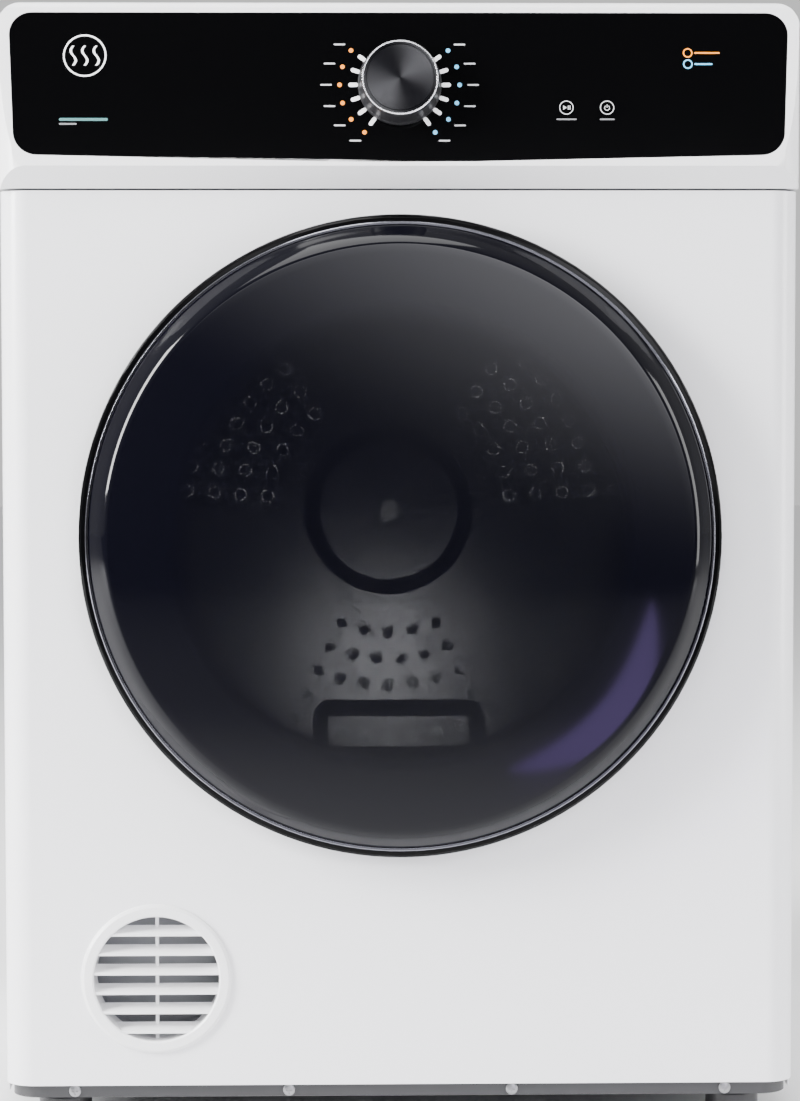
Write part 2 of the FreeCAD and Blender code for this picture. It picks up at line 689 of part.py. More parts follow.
def door_window():
    """The convex smoked window: a shallow crown with a tighter shoulder at its edge."""
    edge = DOOR_R - RING_SEAT - TRIM_WIDTH
    shoulder = edge - WINDOW_SHOULDER
    apex = DOOR_APEX_Y
    rim = DOOR_RIM_Y - 0.4
    drop = (rim - apex) * 0.42
    t = WINDOW_THICK
    def section(offset, edge_y, edge_r):
        crown = arc(V(0, apex + offset, 0), V(shoulder / 2, apex + offset + drop / 4, 0),
                    V(shoulder, apex + offset + drop, 0))
        mid_y = apex + offset + drop + (edge_y - apex - offset - drop) * 0.36
        bend = arc(V(shoulder, apex + offset + drop, 0),
                   V((shoulder + edge_r) / 2 + 1, mid_y, 0), V(edge_r, edge_y, 0))
        return crown, bend
    outer = section(0, rim, edge)
    inner = section(t, rim + t, edge)
    wires = [outer[0], outer[1], line(V(edge, rim, 0), V(edge, rim + t, 0)),
             inner[1], inner[0], line(V(0, apex + t, 0), V(0, apex, 0))]
    face = Part.Face(Part.Wire(Part.__sortEdges__(wires)))
    crown = face.revolve(V(0, 0, 0), Y_AXIS, 360)
    crown.translate(V(0, 0, DOOR_Z))
    return crown


def door_inner_frame():
    """The ring behind the window: a back plate, an outer wall and the porthole wall."""
    back = DOOR_BACK_Y
    out = DOOR_R - DOOR_RING_WIDTH
    t = FRAME_THICK
    front = DOOR_RIM_Y
    profile = [(PORTHOLE_R, back), (out, back), (out, front + 9), (out - t, front + 9),
               (out - t, back - t), (PORTHOLE_R + t, back - t), (PORTHOLE_R + t, front + 1),
               (PORTHOLE_R, front + 1)]
    frame = turned(profile, 0, DOOR_Z).cut(hinge_pocket())
    half = HOOK_HEIGHT / 2
    return frame.cut(box(hook_x(), hook_x() + HOOK_THICK, back - t, back + 1, DOOR_Z - half,
                         DOOR_Z + half))


def door_glass_bowl():
    back = DOOR_BACK_Y
    t = BOWL_THICK
    rim = PORTHOLE_R
    floor = BOWL_FLOOR_R
    apex = back + BOWL_APEX
    profile = [(0, apex), (floor * 0.6, apex - 0.8), (floor, apex - 5), (floor + 16, apex - 14),
               (floor + 27, apex - 28), (rim - 15, back - 2), (rim, back - 2), (rim, back - 2 - t),
               (rim - 18.5, back - 2 - t), (floor + 23, apex - 29), (floor + 13, apex - 16.5),
               (floor - 1.5, apex - 8.6), (floor * 0.58, apex - 0.8 - t), (0, apex - t)]
    return turned(profile, 0, DOOR_Z)


def door_gasket():
    inner = MOUTH_R + COLLAR_WALL + 4
    out = inner + GASKET_WIDTH
    back = DOOR_BACK_Y
    face = collar_front_y() - FELT_GAP
    profile = [(inner, back), (out, back), (out, back + 4), (out - 3, face - 2), (out - 4, face),
               (inner + 3, face), (inner + 1, face - 2), (inner, back + 4)]
    return turned(profile, 0, DOOR_Z)


def collar_front_y():
    return FRONT_Y + 12


def door_hinge_leaf():
    low = DOOR_Z - BARREL_LENGTH / 2
    high = DOOR_Z + BARREL_LENGTH / 2
    barrel = post(HINGE_X, HINGE_Y, LUG_R, low, high)
    web = box(HINGE_X, HINGE_X + 36, HINGE_Y - 2, HINGE_Y + 2, low, high)
    foot_plate = box(HINGE_X + 32, HINGE_X + 36, HINGE_Y - 2, DOOR_BACK_Y, low, high)
    leaf = fused([barrel, web, foot_plate])
    return leaf.cut(post(HINGE_X, HINGE_Y, PIN_R + RUN_FIT, low - 1, high + 1))


def door_hinge_bracket():
    """The fixed bracket behind the front panel, with two arms out to the knuckles."""
    plate_y = FRONT_Y + SHEET
    plate = box(HINGE_X + 6, HINGE_X + 30, plate_y, plate_y + 3, DOOR_Z - 45, DOOR_Z + 45)
    pieces = [plate]
    angle = math.atan2(FRONT_Y + SHEET - HINGE_Y, HINGE_REACH)
    length = math.hypot(FRONT_Y + SHEET + 1.5 - HINGE_Y, HINGE_REACH)
    for middle in knuckle_places():
        low = middle - KNUCKLE_LENGTH / 2
        high = middle + KNUCKLE_LENGTH / 2
        bar = box(0, length, -HINGE_ARM / 2, HINGE_ARM / 2, low, high)
        bar.rotate(V(0, 0, 0), Z_AXIS, math.degrees(angle))
        bar.translate(V(HINGE_X, HINGE_Y, 0))
        pieces += [bar, post(HINGE_X, HINGE_Y, LUG_R, low, high)]
    bracket = fused(pieces)
    for middle in knuckle_places():
        bracket = bracket.cut(post(HINGE_X, HINGE_Y, PIN_R, middle - 10, middle + 10))
    opening = rod(0, DOOR_Z, door_opening_r() + SHEET, FRONT_Y, FRONT_Y + 20)
    return bracket.cut(opening)


def door_hinge_pin():
    low, high = knuckle_places()
    reach = KNUCKLE_LENGTH / 2
    return post(HINGE_X, HINGE_Y, PIN_R, low - reach, high + reach)


def hook_x():
    return door_opening_r() + 9


def door_latch_hook():
    x = hook_x()
    half = HOOK_HEIGHT / 2
    back = DOOR_BACK_Y
    tongue = box(x, x + HOOK_THICK, back - FRAME_THICK, back + HOOK_LENGTH, DOOR_Z - half,
                 DOOR_Z + half)
    window = box(x - 1, x + HOOK_THICK + 1, back + HOOK_LENGTH - 12, back + HOOK_LENGTH - 4,
                 DOOR_Z - half + 3, DOOR_Z + half - 3)
    base = box(x - 4, x + HOOK_THICK + 4, back - 2 * FRAME_THICK, back - FRAME_THICK,
               DOOR_Z - half - 4, DOOR_Z + half + 4)
    return fused([tongue, base]).cut(window)


def door_catch():
    """The catch behind the front panel that the hook enters, with its switch on top."""
    x = hook_x()
    y0 = FRONT_Y + SHEET
    case = box(x - 6, x + HOOK_THICK + 10, y0, y0 + 32, DOOR_Z - 18, DOOR_Z + 18)
    room = box(x - 3, x + HOOK_THICK + 6, y0 - 1, y0 + 29, DOOR_Z - 10, DOOR_Z + 10)
    switch = box(x - 4, x + HOOK_THICK + 6, y0 + 6, y0 + 28, DOOR_Z + 18, DOOR_Z + 30)
    case = case.cut(room)
    opening = rod(0, DOOR_Z, door_opening_r() + SHEET, FRONT_Y, FRONT_Y + 13)
    return [case.cut(opening), switch]


# ---------------------------------------------------------------- drum and its supports
def front_bulkhead():
    """The front wall behind the door: plate, mouth collar and the ring that the drum rides."""
    side = HALF_W - SHEET - 1
    low = BODY_BOTTOM + TRAY_HEIGHT + 1
    plate = box(-side, side, BULKHEAD_Y, BULKHEAD_BACK, low, PANEL_TOP_Z - 3)
    flanges = [box(x, x + BULKHEAD_THICK, BULKHEAD_Y - 14, BULKHEAD_BACK, low, PANEL_TOP_Z - 3)
               for x in (-side, side - BULKHEAD_THICK)]
    front = collar_front_y()
    collar = tube(0, DOOR_Z, MOUTH_R + COLLAR_WALL, MOUTH_R, front, BULKHEAD_BACK)
    lip = tube(0, DOOR_Z, door_opening_r() - 0.5, MOUTH_R, front, front + COLLAR_WALL)
    ring_out = support_ring_r()
    ring = tube(0, DOOR_Z, ring_out, ring_out - 1.2, BULKHEAD_Y, DRUM_FRONT_Y + FELT_WIDTH)
    wall = fused([plate, collar, lip, ring] + flanges)
    filter_chord = math.sqrt(MOUTH_R ** 2 - FILTER_HALF ** 2)
    slot_top = DOOR_Z - min(MOUTH_R * 0.7, filter_chord - 6)
    slot = box(-FILTER_HALF - 3, FILTER_HALF + 3, filter_back_y() - FILTER_THICK - 4,
               filter_back_y() + 2.0, DOOR_Z - MOUTH_R - 5, slot_top)
    shaft_hole = rod(MOTOR_X, MOTOR_Z, MOTOR_SHAFT_R + 4, BULKHEAD_Y - 5, BULKHEAD_BACK + 5)
    return wall.cut(rod(0, DOOR_Z, MOUTH_R, front - 1, DRUM_FRONT_Y)).cut(slot).cut(shaft_hole)


def filter_back_y():
    return BULKHEAD_Y - 3.0


def support_ring_r():
    return DRUM_R - DRUM_WALL - FELT_GAP - 3.0


def drum_felt_seals():
    """The felt band between drum and front ring, and the felt ring against its back."""
    front = tube(0, DOOR_Z, DRUM_R - DRUM_WALL - FELT_GAP, support_ring_r(),
                 DRUM_FRONT_Y, DRUM_FRONT_Y + FELT_WIDTH)
    rear_y = DRUM_REAR_Y + DRUM_WALL + FELT_GAP
    rear = tube(0, DOOR_Z, plenum_r() - 1, plenum_r() - 14, rear_y, rear_y + 5)
    return [front, rear]


def plenum_r():
    return DRUM_R - 8


def drum_shell():
    """The turning barrel, with two rolled beads that stiffen it."""
    wall = DRUM_WALL
    r = DRUM_R
    bead = 2.0
    y0 = DRUM_FRONT_Y
    y1 = DRUM_REAR_Y
    beads = (y0 + 90, y1 - 70)
    outer = [(r, y0)]
    inner = [(r - wall, y0)]
    for y in beads:
        outer += [(r, y - 6), (r - bead, y - 3), (r - bead, y + 3), (r, y + 6)]
        inner += [(r - wall, y - 6), (r - wall - bead, y - 3), (r - wall - bead, y + 3),
                  (r - wall, y + 6)]
    outer.append((r, y1))
    inner.append((r - wall, y1))
    return turned(outer + inner[::-1], 0, DOOR_Z)


def sector_holes():
    """Hole places on the drum's back: three fans of rows that widen outwards."""
    places = []
    for middle in (-90, 30, 150):
        for row in range(HOLE_ROWS):
            radius = HOLE_FIRST_R + row * HOLE_ROW_PITCH
            count = 5 + row
            for i in range(count):
                spread = (i - (count - 1) / 2) * HOLE_PITCH / radius
                a = math.radians(middle) + spread
                places.append((radius * math.cos(a), DOOR_Z + radius * math.sin(a)))
    return places


def drum_back():
    y0 = DRUM_REAR_Y
    y1 = y0 + DRUM_WALL
    dish = DRUM_BACK_DISH
    r = DRUM_R
    profile = [(DRUM_SHAFT_R, y0 - dish), (62, y0 - dish), (76, y0), (r, y0), (r, y1),
               (75.6, y1), (61.6, y1 - dish), (DRUM_SHAFT_R, y1 - dish)]
    holes = [rod(x, z, HOLE_R, y0 - 2, y1 + 2) for x, z in sector_holes()]
    return turned(profile, 0, DOOR_Z).cut(Part.makeCompound(holes))


def drum_lifter(angle):
    """A hollow triangular paddle along the inside of the barrel."""
    inner = DRUM_R - DRUM_WALL - 2.0
    half = LIFTER_BASE / 2
    top = inner - LIFTER_HEIGHT
    foot_r = math.sqrt(inner ** 2 - half ** 2) - 0.2
    y0 = DRUM_FRONT_Y + FELT_WIDTH + 12
    y1 = DRUM_REAR_Y - 10
    outline = [(foot_r, -half), (foot_r, half), (top + 16, 15), (top + 4, 9), (top, 0),
               (top + 4, -9), (top + 16, -15)]
    solid = plate_xz([(a, b) for a, b in outline], y0, y1)
    t = 2.5
    core = [(foot_r + 1, -half + 2 * t), (foot_r + 1, half - 2 * t), (top + 16 + t, 15 - t),
            (top + 4 + t, 9 - t), (top + 4 + t, -9 + t), (top + 16 + t, -15 + t)]
    solid = solid.cut(plate_xz([(a, b) for a, b in core], y0 + t, y1 - t))
    heel = box(foot_r - 3, foot_r, y0, y1, -half, half)
    solid = solid.fuse(heel)
    solid.translate(V(0, 0, DOOR_Z))
    return around_y(solid, 0, DOOR_Z, angle)


def drum_shaft():
    y0 = DRUM_REAR_Y + DRUM_WALL
    shaft = rod(0, DOOR_Z, DRUM_SHAFT_R, DRUM_REAR_Y - 12, REAR_Y - 9)
    spider = rod(0, DOOR_Z, 90, y0, y0 + 4)
    arms = [around_y(box(40, 200, y0, y0 + 4, DOOR_Z - 14, DOOR_Z + 14), 0, DOOR_Z, a)
            for a in (30, 150, 270)]
    return fused([shaft, spider] + arms)


def drum_bearing():
    y0 = REAR_Y - 30
    bush = tube(0, DOOR_Z, DRUM_BUSH_R, DRUM_SHAFT_R + RUN_FIT, y0, REAR_Y - 7)
    flange = tube(0, DOOR_Z, DRUM_BUSH_R + 8, DRUM_BUSH_R - 1, y0 - 4, y0)
    return bush.fuse(flange)


def rear_plenum():
    """The fixed air pan behind the drum, with the spout up from the heater."""
    r = plenum_r()
    y0 = DRUM_REAR_Y + DRUM_WALL + FELT_GAP + 5
    y1 = REAR_Y - 6
    wall = 1.2
    pan = rod(0, DOOR_Z, r, y0, y1).cut(rod(0, DOOR_Z, r - wall, y0 - 1, y1 - wall))
    lip = tube(0, DOOR_Z, r, r - 14, y0, y0 + wall)
    low = heater_top()
    spout = box(HEATER_X0 + 10, HEATER_X1 - 10, y0 + 4, y1, low, DOOR_Z - r * 0.75)
    hollow = box(HEATER_X0 + 10 + wall, HEATER_X1 - 10 - wall, y0 + 4 + wall, y1 - wall,
                 low - 1, DOOR_Z - r * 0.75 + 5)
    spout = spout.cut(rod(0, DOOR_Z, r - wall / 2, y0 - 1, y1 + 1)).cut(hollow)
    pan = fused([pan, lip]).cut(hollow).fuse(spout)
    hub = rod(0, DOOR_Z, DRUM_BUSH_R + 8, REAR_Y - 30, y1)
    return pan.fuse(hub).cut(rod(0, DOOR_Z, DRUM_BUSH_R, y0, y1 + 5))


def heater_top():
    return BODY_BOTTOM + TRAY_HEIGHT + 111


def heater_housing():
    low = BODY_BOTTOM + TRAY_HEIGHT + 4
    front = REAR_Y - 110
    back = REAR_Y - 6
    case = box(HEATER_X0, HEATER_X1, front, back, low, heater_top())
    room = box(HEATER_X0 + HEATER_WALL, HEATER_X1 - HEATER_WALL, front - 1, back - HEATER_WALL,
               low + HEATER_WALL, heater_top() - HEATER_WALL)
    spout = box(HEATER_X0 + 12, HEATER_X1 - 12, DRUM_REAR_Y + 12, back - 2, heater_top() - 5,
                heater_top() + 1)
    feet = [box(x, x + 12, front + 20, back - 20, BODY_BOTTOM + TRAY_WALL, low)
            for x in (HEATER_X0 + 8, HEATER_X1 - 20)]
    return fused([case] + feet).cut(room).cut(spout)


def heater_element():
    """A sheathed rod bent back and forth across the heater's air path."""
    r = 3.2
    pitch = 15.0
    x0 = HEATER_X0 + 22
    x1 = HEATER_X1 - 22
    y = REAR_Y - 60
    z0 = BODY_BOTTOM + TRAY_HEIGHT + 22
    rows = 6
    pieces = []
    for i in range(rows):
        z = z0 + i * pitch
        pieces.append(Part.makeCylinder(r, x1 - x0, V(x0, y, z), X_AXIS))
        if i < rows - 1:
            x = x1 if i % 2 == 0 else x0
            bend = Part.makeTorus(pitch / 2, r, V(x, y, z + pitch / 2), Y_AXIS)
            side = box(x, x + 30, y - 9, y + 9, z - 5, z + pitch + 5)
            if i % 2:
                side = box(x - 30, x, y - 9, y + 9, z - 5, z + pitch + 5)
            pieces.append(bend.common(side))
    tail = Part.makeCylinder(r, 22 - HEATER_WALL, V(HEATER_X0 + HEATER_WALL, y, z0), X_AXIS)
    return fused(pieces + [tail])


# ---------------------------------------------------------------- lint filter and air path
def lint_filter_frame():
    """The filter that lifts out of the lip below the drum's mouth, with its finger grip."""
    back = filter_back_y()
    front = back - FILTER_THICK
    low = DOOR_Z - MOUTH_R - FILTER_DEPTH
    crest = DOOR_Z - math.sqrt(MOUTH_R ** 2 - FILTER_HALF ** 2) + 4
    body = box(-FILTER_HALF, FILTER_HALF, front, back, low, crest)
    body = body.cut(rod(0, DOOR_Z, MOUTH_R - 4, front - 1, back + 1))
    pane = box(-FILTER_HALF + 8, FILTER_HALF - 8, front - 1, back + 1, low + 8,
               DOOR_Z - MOUTH_R - 4)
    body = body.cut(pane)
    grip_low = DOOR_Z - MOUTH_R - 3
    grip_top = grip_low + FILTER_GRIP_RISE
    middle = (front + back) / 2
    grip = box(-FILTER_GRIP_HALF, FILTER_GRIP_HALF, middle - 4, middle + 4, grip_low, grip_top)
    corners = [e for e in grip.Edges if abs(e.tangentAt(0).y) > 0.9 and e.BoundBox.ZMin > grip_top - 1]
    grip = grip.makeFillet(14, corners)
    hole = box(-FILTER_GRIP_HALF + 12, FILTER_GRIP_HALF - 12, middle - 5, middle + 5,
               grip_low + 14, grip_top - 12)
    return body.fuse(grip.cut(hole)).removeSplitter()


def lint_filter_mesh():
    middle = filter_back_y() - FILTER_THICK / 2
    low = DOOR_Z - MOUTH_R - FILTER_DEPTH + 8
    sheet = box(-FILTER_HALF + 8, FILTER_HALF - 8, middle - 0.4, middle + 0.4, low,
                DOOR_Z - MOUTH_R - 4)
    holes = []
    for row in range(3):
        for i in range(14):
            x = -FILTER_HALF + 22 + i * 12
            z = low + 8 + row * 13
            holes.append(box(x - 4, x + 4, middle - 1, middle + 1, z - 4, z + 4))
    return sheet.cut(Part.makeCompound(holes))


def lint_duct():
    """The duct that holds the filter and leads its air down to the fan's inlet."""
    t = DUCT_WALL
    half = FILTER_HALF + 2 + t
    back = BULKHEAD_Y
    front = FRONT_Y + 10
    low = DOOR_Z - MOUTH_R - FILTER_DEPTH - 4
    crest = DOOR_Z - math.sqrt(MOUTH_R ** 2 - half ** 2) + 1
    cup = box(-half, half, front + 6, back, low, crest)
    cup_room = box(-half + t, half - t, front + 6 + t, back - 0.5, low + t, crest + 1)
    face_back = BLOWER_FRONT_Y
    r = INLET_R + 14
    outline = [(-half, low + t + 2), (-half, low + 36), (half, low + 36), (MOTOR_X + r, MOTOR_Z + r),
               (MOTOR_X + r, MOTOR_Z - r), (MOTOR_X - r, MOTOR_Z - r),
               (MOTOR_X - r, MOTOR_Z + 6)]
    fall = plate_xz(outline, front, face_back)
    ring = Part.makePolygon([V(x, front, z) for x, z in outline + [outline[0]]])
    hollow = Part.Face(ring.makeOffset2D(-t))
    hollow.translate(V(0, t, 0))
    hollow = hollow.extrude(V(0, face_back - front - 2 * t, 0))
    gate = box(-half + t + 1, half - t - 1, face_back - 5, face_back + 5, low + t + 4, low + 32)
    inlet = rod(MOTOR_X, MOTOR_Z, INLET_R, face_back - t - 1, face_back + 1)
    body = fused([cup, fall]).cut(cup_room).cut(hollow).cut(gate).cut(inlet)
    return body.cut(rod(0, DOOR_Z, MOUTH_R + COLLAR_WALL, front - 1, back + 1))


def blower_housing():
    y0 = BLOWER_FRONT_Y
    y1 = y0 + BLOWER_DEPTH
    t = DUCT_WALL
    low = MOTOR_Z - 48
    high = MOTOR_Z + 42
    scroll = rod(MOTOR_X, MOTOR_Z, BLOWER_R, y0, y1)
    horn = box(MOTOR_X - 100, MOTOR_X, y0, y1, low, high)
    scroll_room = rod(MOTOR_X, MOTOR_Z, BLOWER_R - t, y0 + t, y1 - t)
    horn_room = box(MOTOR_X - 101, MOTOR_X, y0 + t, y1 - t, low + t, high - t)
    inlet = rod(MOTOR_X, MOTOR_Z, INLET_R, y0 - 1, y0 + t + 1)
    shaft_hole = rod(MOTOR_X, MOTOR_Z, MOTOR_SHAFT_R + 2, y1 - t - 1, y1 + 1)
    body = scroll.fuse(horn).cut(scroll_room).cut(horn_room)
    return body.cut(inlet).cut(shaft_hole).cut(box(-HALF_W, HALF_W, y0, y1, 0, tray_floor()))


def tray_floor():
    return BODY_BOTTOM + TRAY_WALL


def blower_impeller():
    """The fan wheel: a back plate, a hub on the shaft and forward-curved blades."""
    y1 = BLOWER_FRONT_Y + BLOWER_DEPTH - DUCT_WALL - 2
    y0 = y1 - IMPELLER_WIDTH
    plate = rod(MOTOR_X, MOTOR_Z, IMPELLER_R, y1 - 1.5, y1)
    hub = rod(MOTOR_X, MOTOR_Z, 15, y0 + 4, y1)
    rim = tube(MOTOR_X, MOTOR_Z, IMPELLER_R, IMPELLER_R - 16, y0, y0 + 1.2)
    blade = box(-9, 9, y0, y1, -0.7, 0.7)
    blade.rotate(V(0, 0, 0), Y_AXIS, 28)
    blade.translate(V(MOTOR_X + IMPELLER_R - 9.5, 0, MOTOR_Z))
    blades = [around_y(blade, MOTOR_X, MOTOR_Z, 360 / BLADES * i) for i in range(BLADES)]
    wheel = fused([plate, hub, rim] + blades)
    wheel = wheel.common(rod(MOTOR_X, MOTOR_Z, IMPELLER_R + 0.5, y0, y1))
    return wheel.cut(rod(MOTOR_X, MOTOR_Z, MOTOR_SHAFT_R, y0 - 1, y1 + 1))


def vent_duct():
    """The duct from the fan across the base to the grille at the front."""
    t = DUCT_WALL
    y0 = BLOWER_FRONT_Y
    y1 = y0 + BLOWER_DEPTH
    r = VENT_OPEN_R + 5
    x0 = VENT_X - r
    x1 = MOTOR_X - 100
    low = MOTOR_Z - 48
    high = MOTOR_Z + 42
    run = box(VENT_X, x1, y0, y1, low, high).fuse(rod(VENT_X, VENT_Z, r, y0, y1))
    room = box(VENT_X, x1 + 1, y0 + t, y1 - t, low + t, high - t)
    room = room.fuse(rod(VENT_X, VENT_Z, r - t, y0 + t, y1 - t))
    spout = rod(VENT_X, VENT_Z, r, FRONT_Y + 2, y0 + 1)
    bore = rod(VENT_X, VENT_Z, r - t, FRONT_Y + 1, y0 + t + 1)
    return run.fuse(spout).cut(room).cut(bore)


def vent_grille():
    """The louvred cap over the exhaust: flange, barrel, slanted slats and a centre rib."""
    face = FRONT_Y
    profile = [(VENT_OPEN_R, face - 2.2), (VENT_OPEN_R + 1.2, face - 3.2),
               (VENT_FLANGE_R - 2.5, face - 3.2), (VENT_FLANGE_R - 0.6, face - 2),
               (VENT_FLANGE_R, face), (VENT_OPEN_R + 1.7, face), (VENT_OPEN_R + 1.7, face + 24),
               (VENT_OPEN_R - 0.8, face + 24), (VENT_OPEN_R, face + 2)]
    rim = turned(profile, VENT_X, VENT_Z)
    slats = []
    for i in range(VENT_SLATS):
        z = VENT_Z + (i - (VENT_SLATS - 1) / 2) * VENT_PITCH - 1.3
        slat = box(VENT_X - VENT_OPEN_R - 0.4, VENT_X + VENT_OPEN_R + 0.4, -SLAT_DEPTH / 2,
                   SLAT_DEPTH / 2, -SLAT_THICK / 2, SLAT_THICK / 2)
        slat.rotate(V(0, 0, 0), X_AXIS, SLAT_TILT)
        slat.translate(V(0, face + 5.2, z))
        slats.append(slat)
    rib = box(VENT_X - 1.2, VENT_X + 1.2, face + 9, face + 16, VENT_Z - VENT_OPEN_R - 0.4,
              VENT_Z + VENT_OPEN_R + 0.4)
    inside = rod(VENT_X, VENT_Z, VENT_OPEN_R + 0.4, face - 2, face + 24)
    louvre = fused(slats + [rib]).common(inside)
    return rim.fuse(louvre)


# ---------------------------------------------------------------- motor, belt and rollers
def motor_housing():
    """The motor's steel case on its cradle, bored for the shaft."""
    y0 = motor_front_y()
    y1 = y0 + MOTOR_LENGTH
    case = rod(MOTOR_X, MOTOR_Z, MOTOR_R, y0, y1)
    caps = [rod(MOTOR_X, MOTOR_Z, 24, a, b) for a, b in ((y0 - 8, y0 + 1), (y1 - 1, y1 + 8))]
    legs = [box(MOTOR_X - 50, MOTOR_X + 50, y, y + 12, tray_floor(), MOTOR_Z - 20)
            for y in (y0 + 14, y1 - 26)]
    body = fused([case] + caps + legs)
    fins = [around_y(box(MOTOR_R - 4, MOTOR_R + 1, y0 + 34, y1 - 34, -2, 2), 0, 0, a)
            for a in range(-180, 1, 20)]
    for fin in fins:
        fin.translate(V(MOTOR_X, 0, MOTOR_Z))
    body = body.cut(Part.makeCompound(fins))
    return body.cut(rod(MOTOR_X, MOTOR_Z, MOTOR_SHAFT_R + RUN_FIT, y0 - 20, y1 + 20))


def motor_front_y():
    return BELT_Y - 25 - MOTOR_LENGTH


def motor_shaft():
    y0 = BLOWER_FRONT_Y + DUCT_WALL + 4
    return rod(MOTOR_X, MOTOR_Z, MOTOR_SHAFT_R, y0, BELT_Y + 24)


def drive_pulley():
    half = BELT_WIDTH / 2
    profile = [(MOTOR_SHAFT_R, BELT_Y - half - 3), (PULLEY_R + 3, BELT_Y - half - 3),
               (PULLEY_R + 3, BELT_Y - half - 1), (PULLEY_R, BELT_Y - half - 1),
               (PULLEY_R, BELT_Y + half + 1), (PULLEY_R + 3, BELT_Y + half + 1),
               (PULLEY_R + 3, BELT_Y + half + 3), (MOTOR_SHAFT_R, BELT_Y + half + 3)]
    return turned(profile, MOTOR_X, MOTOR_Z)


def idler_pulley():
    half = BELT_WIDTH / 2
    bore = ROLLER_AXLE_R - 1 + RUN_FIT
    profile = [(bore, BELT_Y - half - 3), (IDLER_R + 3, BELT_Y - half - 3),
               (IDLER_R + 3, BELT_Y - half - 1), (IDLER_R, BELT_Y - half - 1),
               (IDLER_R, BELT_Y + half + 1), (IDLER_R + 3, BELT_Y + half + 1),
               (IDLER_R + 3, BELT_Y + half + 3), (bore, BELT_Y + half + 3)]
    return turned(profile, IDLER_X, IDLER_Z)


def tensioner_arm():
    """The sprung arm behind the idler, with the idler's axle and the spring's hook."""
    y0 = BELT_Y + BELT_WIDTH / 2 + 5
    y1 = y0 + ARM_THICK
    dx = IDLER_X - ARM_PIVOT_X
    dz = IDLER_Z - ARM_PIVOT_Z
    length = math.hypot(dx, dz)
    bar = box(0, length, y0, y1, -7, 7)
    bar = around_y(bar, 0, 0, -math.degrees(math.atan2(dz, dx)))
    bar.translate(V(ARM_PIVOT_X, 0, ARM_PIVOT_Z))
    tail = box(ARM_PIVOT_X - 44, ARM_PIVOT_X, y0, y1, ARM_PIVOT_Z - 5, ARM_PIVOT_Z + 5)
    ends = [rod(ARM_PIVOT_X, ARM_PIVOT_Z, 10, y0, y1), rod(IDLER_X, IDLER_Z, 9, y0, y1)]
    axle = rod(IDLER_X, IDLER_Z, ROLLER_AXLE_R - 1, BELT_Y - BELT_WIDTH / 2 - 4, y1)
    arm = fused([bar, tail, axle] + ends)
    arm = arm.cut(rod(ARM_PIVOT_X, ARM_PIVOT_Z, 4 + RUN_FIT, y0 - 1, y1 + 1))
    return arm.cut(rod(*spring_place(), 1.8, y0 - 1, y1 + 1))


def spring_place():
    return ARM_PIVOT_X - 38, ARM_PIVOT_Z


def tensioner_stand():
    """The fixed stand with the arm's pivot pin and the spring's lower anchor."""
    y1 = BELT_Y + BELT_WIDTH / 2 + 5 + ARM_THICK
    x = ARM_PIVOT_X
    wall = box(x - 14, x + 14, y1 + 1, y1 + 5, tray_floor(), ARM_PIVOT_Z + 12)
    base = box(x - 52, x + 14, y1 - 10, y1 + 20, tray_floor(), tray_floor() + 3)
    pin = rod(x, ARM_PIVOT_Z, 4, y1 - ARM_THICK - 2, y1 + 1)
    head = rod(x, ARM_PIVOT_Z, 7, y1 - ARM_THICK - 4, y1 - ARM_THICK - 1)
    return fused([wall, base, pin, head])


def tensioner_spring():
    """A closed-coil extension spring between the stand's base and the arm's tail."""
    x = spring_place()[0]
    y = BELT_Y + BELT_WIDTH / 2 + 5 + ARM_THICK / 2
    z0 = tray_floor() + 3
    z1 = ARM_PIVOT_Z - 5.5
    pitch = (z1 - z0 - 2 * SPRING_WIRE) / SPRING_TURNS
    helix = Part.makeHelix(pitch, pitch * SPRING_TURNS, SPRING_R)
    section = Part.Wire([Part.makeCircle(SPRING_WIRE, V(SPRING_R, 0, 0), Y_AXIS)])
    coil = Part.Wire(helix).makePipeShell([section], True, True)
    coil.translate(V(x, y, z0 + SPRING_WIRE))
    return coil


def tangent_loop(circles):
    """The closed outline round circles (x, z, r) given anticlockwise, as edges at y = 0."""
    lines = []
    count = len(circles)
    for i in range(count):
        ax, az, ar = circles[i]
        bx, bz, br = circles[(i + 1) % count]
        span = math.hypot(bx - ax, bz - az)
        heading = math.atan2(bz - az, bx - ax)
        normal = heading - math.acos((ar - br) / span)
        start = (ax + ar * math.cos(normal), az + ar * math.sin(normal), normal)
        stop = (bx + br * math.cos(normal), bz + br * math.sin(normal), normal)
        lines.append((start, stop))
    edges = []
    for i in range(count):
        start, stop = lines[i]
        edges.append(line(V(start[0], 0, start[1]), V(stop[0], 0, stop[1])))
        leave = lines[(i + 1) % count][0]
        cx, cz, r = circles[(i + 1) % count]
        sweep = (leave[2] - stop[2]) % (2 * math.pi)
        middle = stop[2] + sweep / 2
        edges.append(arc(V(stop[0], 0, stop[1]),
                         V(cx + r * math.cos(middle), 0, cz + r * math.sin(middle)),
                         V(leave[0], 0, leave[1])))
    return Part.Wire(edges)


def drive_belt():
    """The flat ribbed belt round the drum, the idler and the motor's pulley."""
    def loop(grow):
        gap = CLEARANCE + grow
        return tangent_loop([(0, DOOR_Z, DRUM_R + gap), (IDLER_X, IDLER_Z, IDLER_R + gap),
                             (MOTOR_X, MOTOR_Z, PULLEY_R + gap)])
    y0 = BELT_Y - BELT_WIDTH / 2
    outer = Part.Face(loop(BELT_THICK))
    inner = Part.Face(loop(0))
    band = outer.cut(inner).extrude(V(0, BELT_WIDTH, 0))
    band.translate(V(0, y0, 0))
    return band


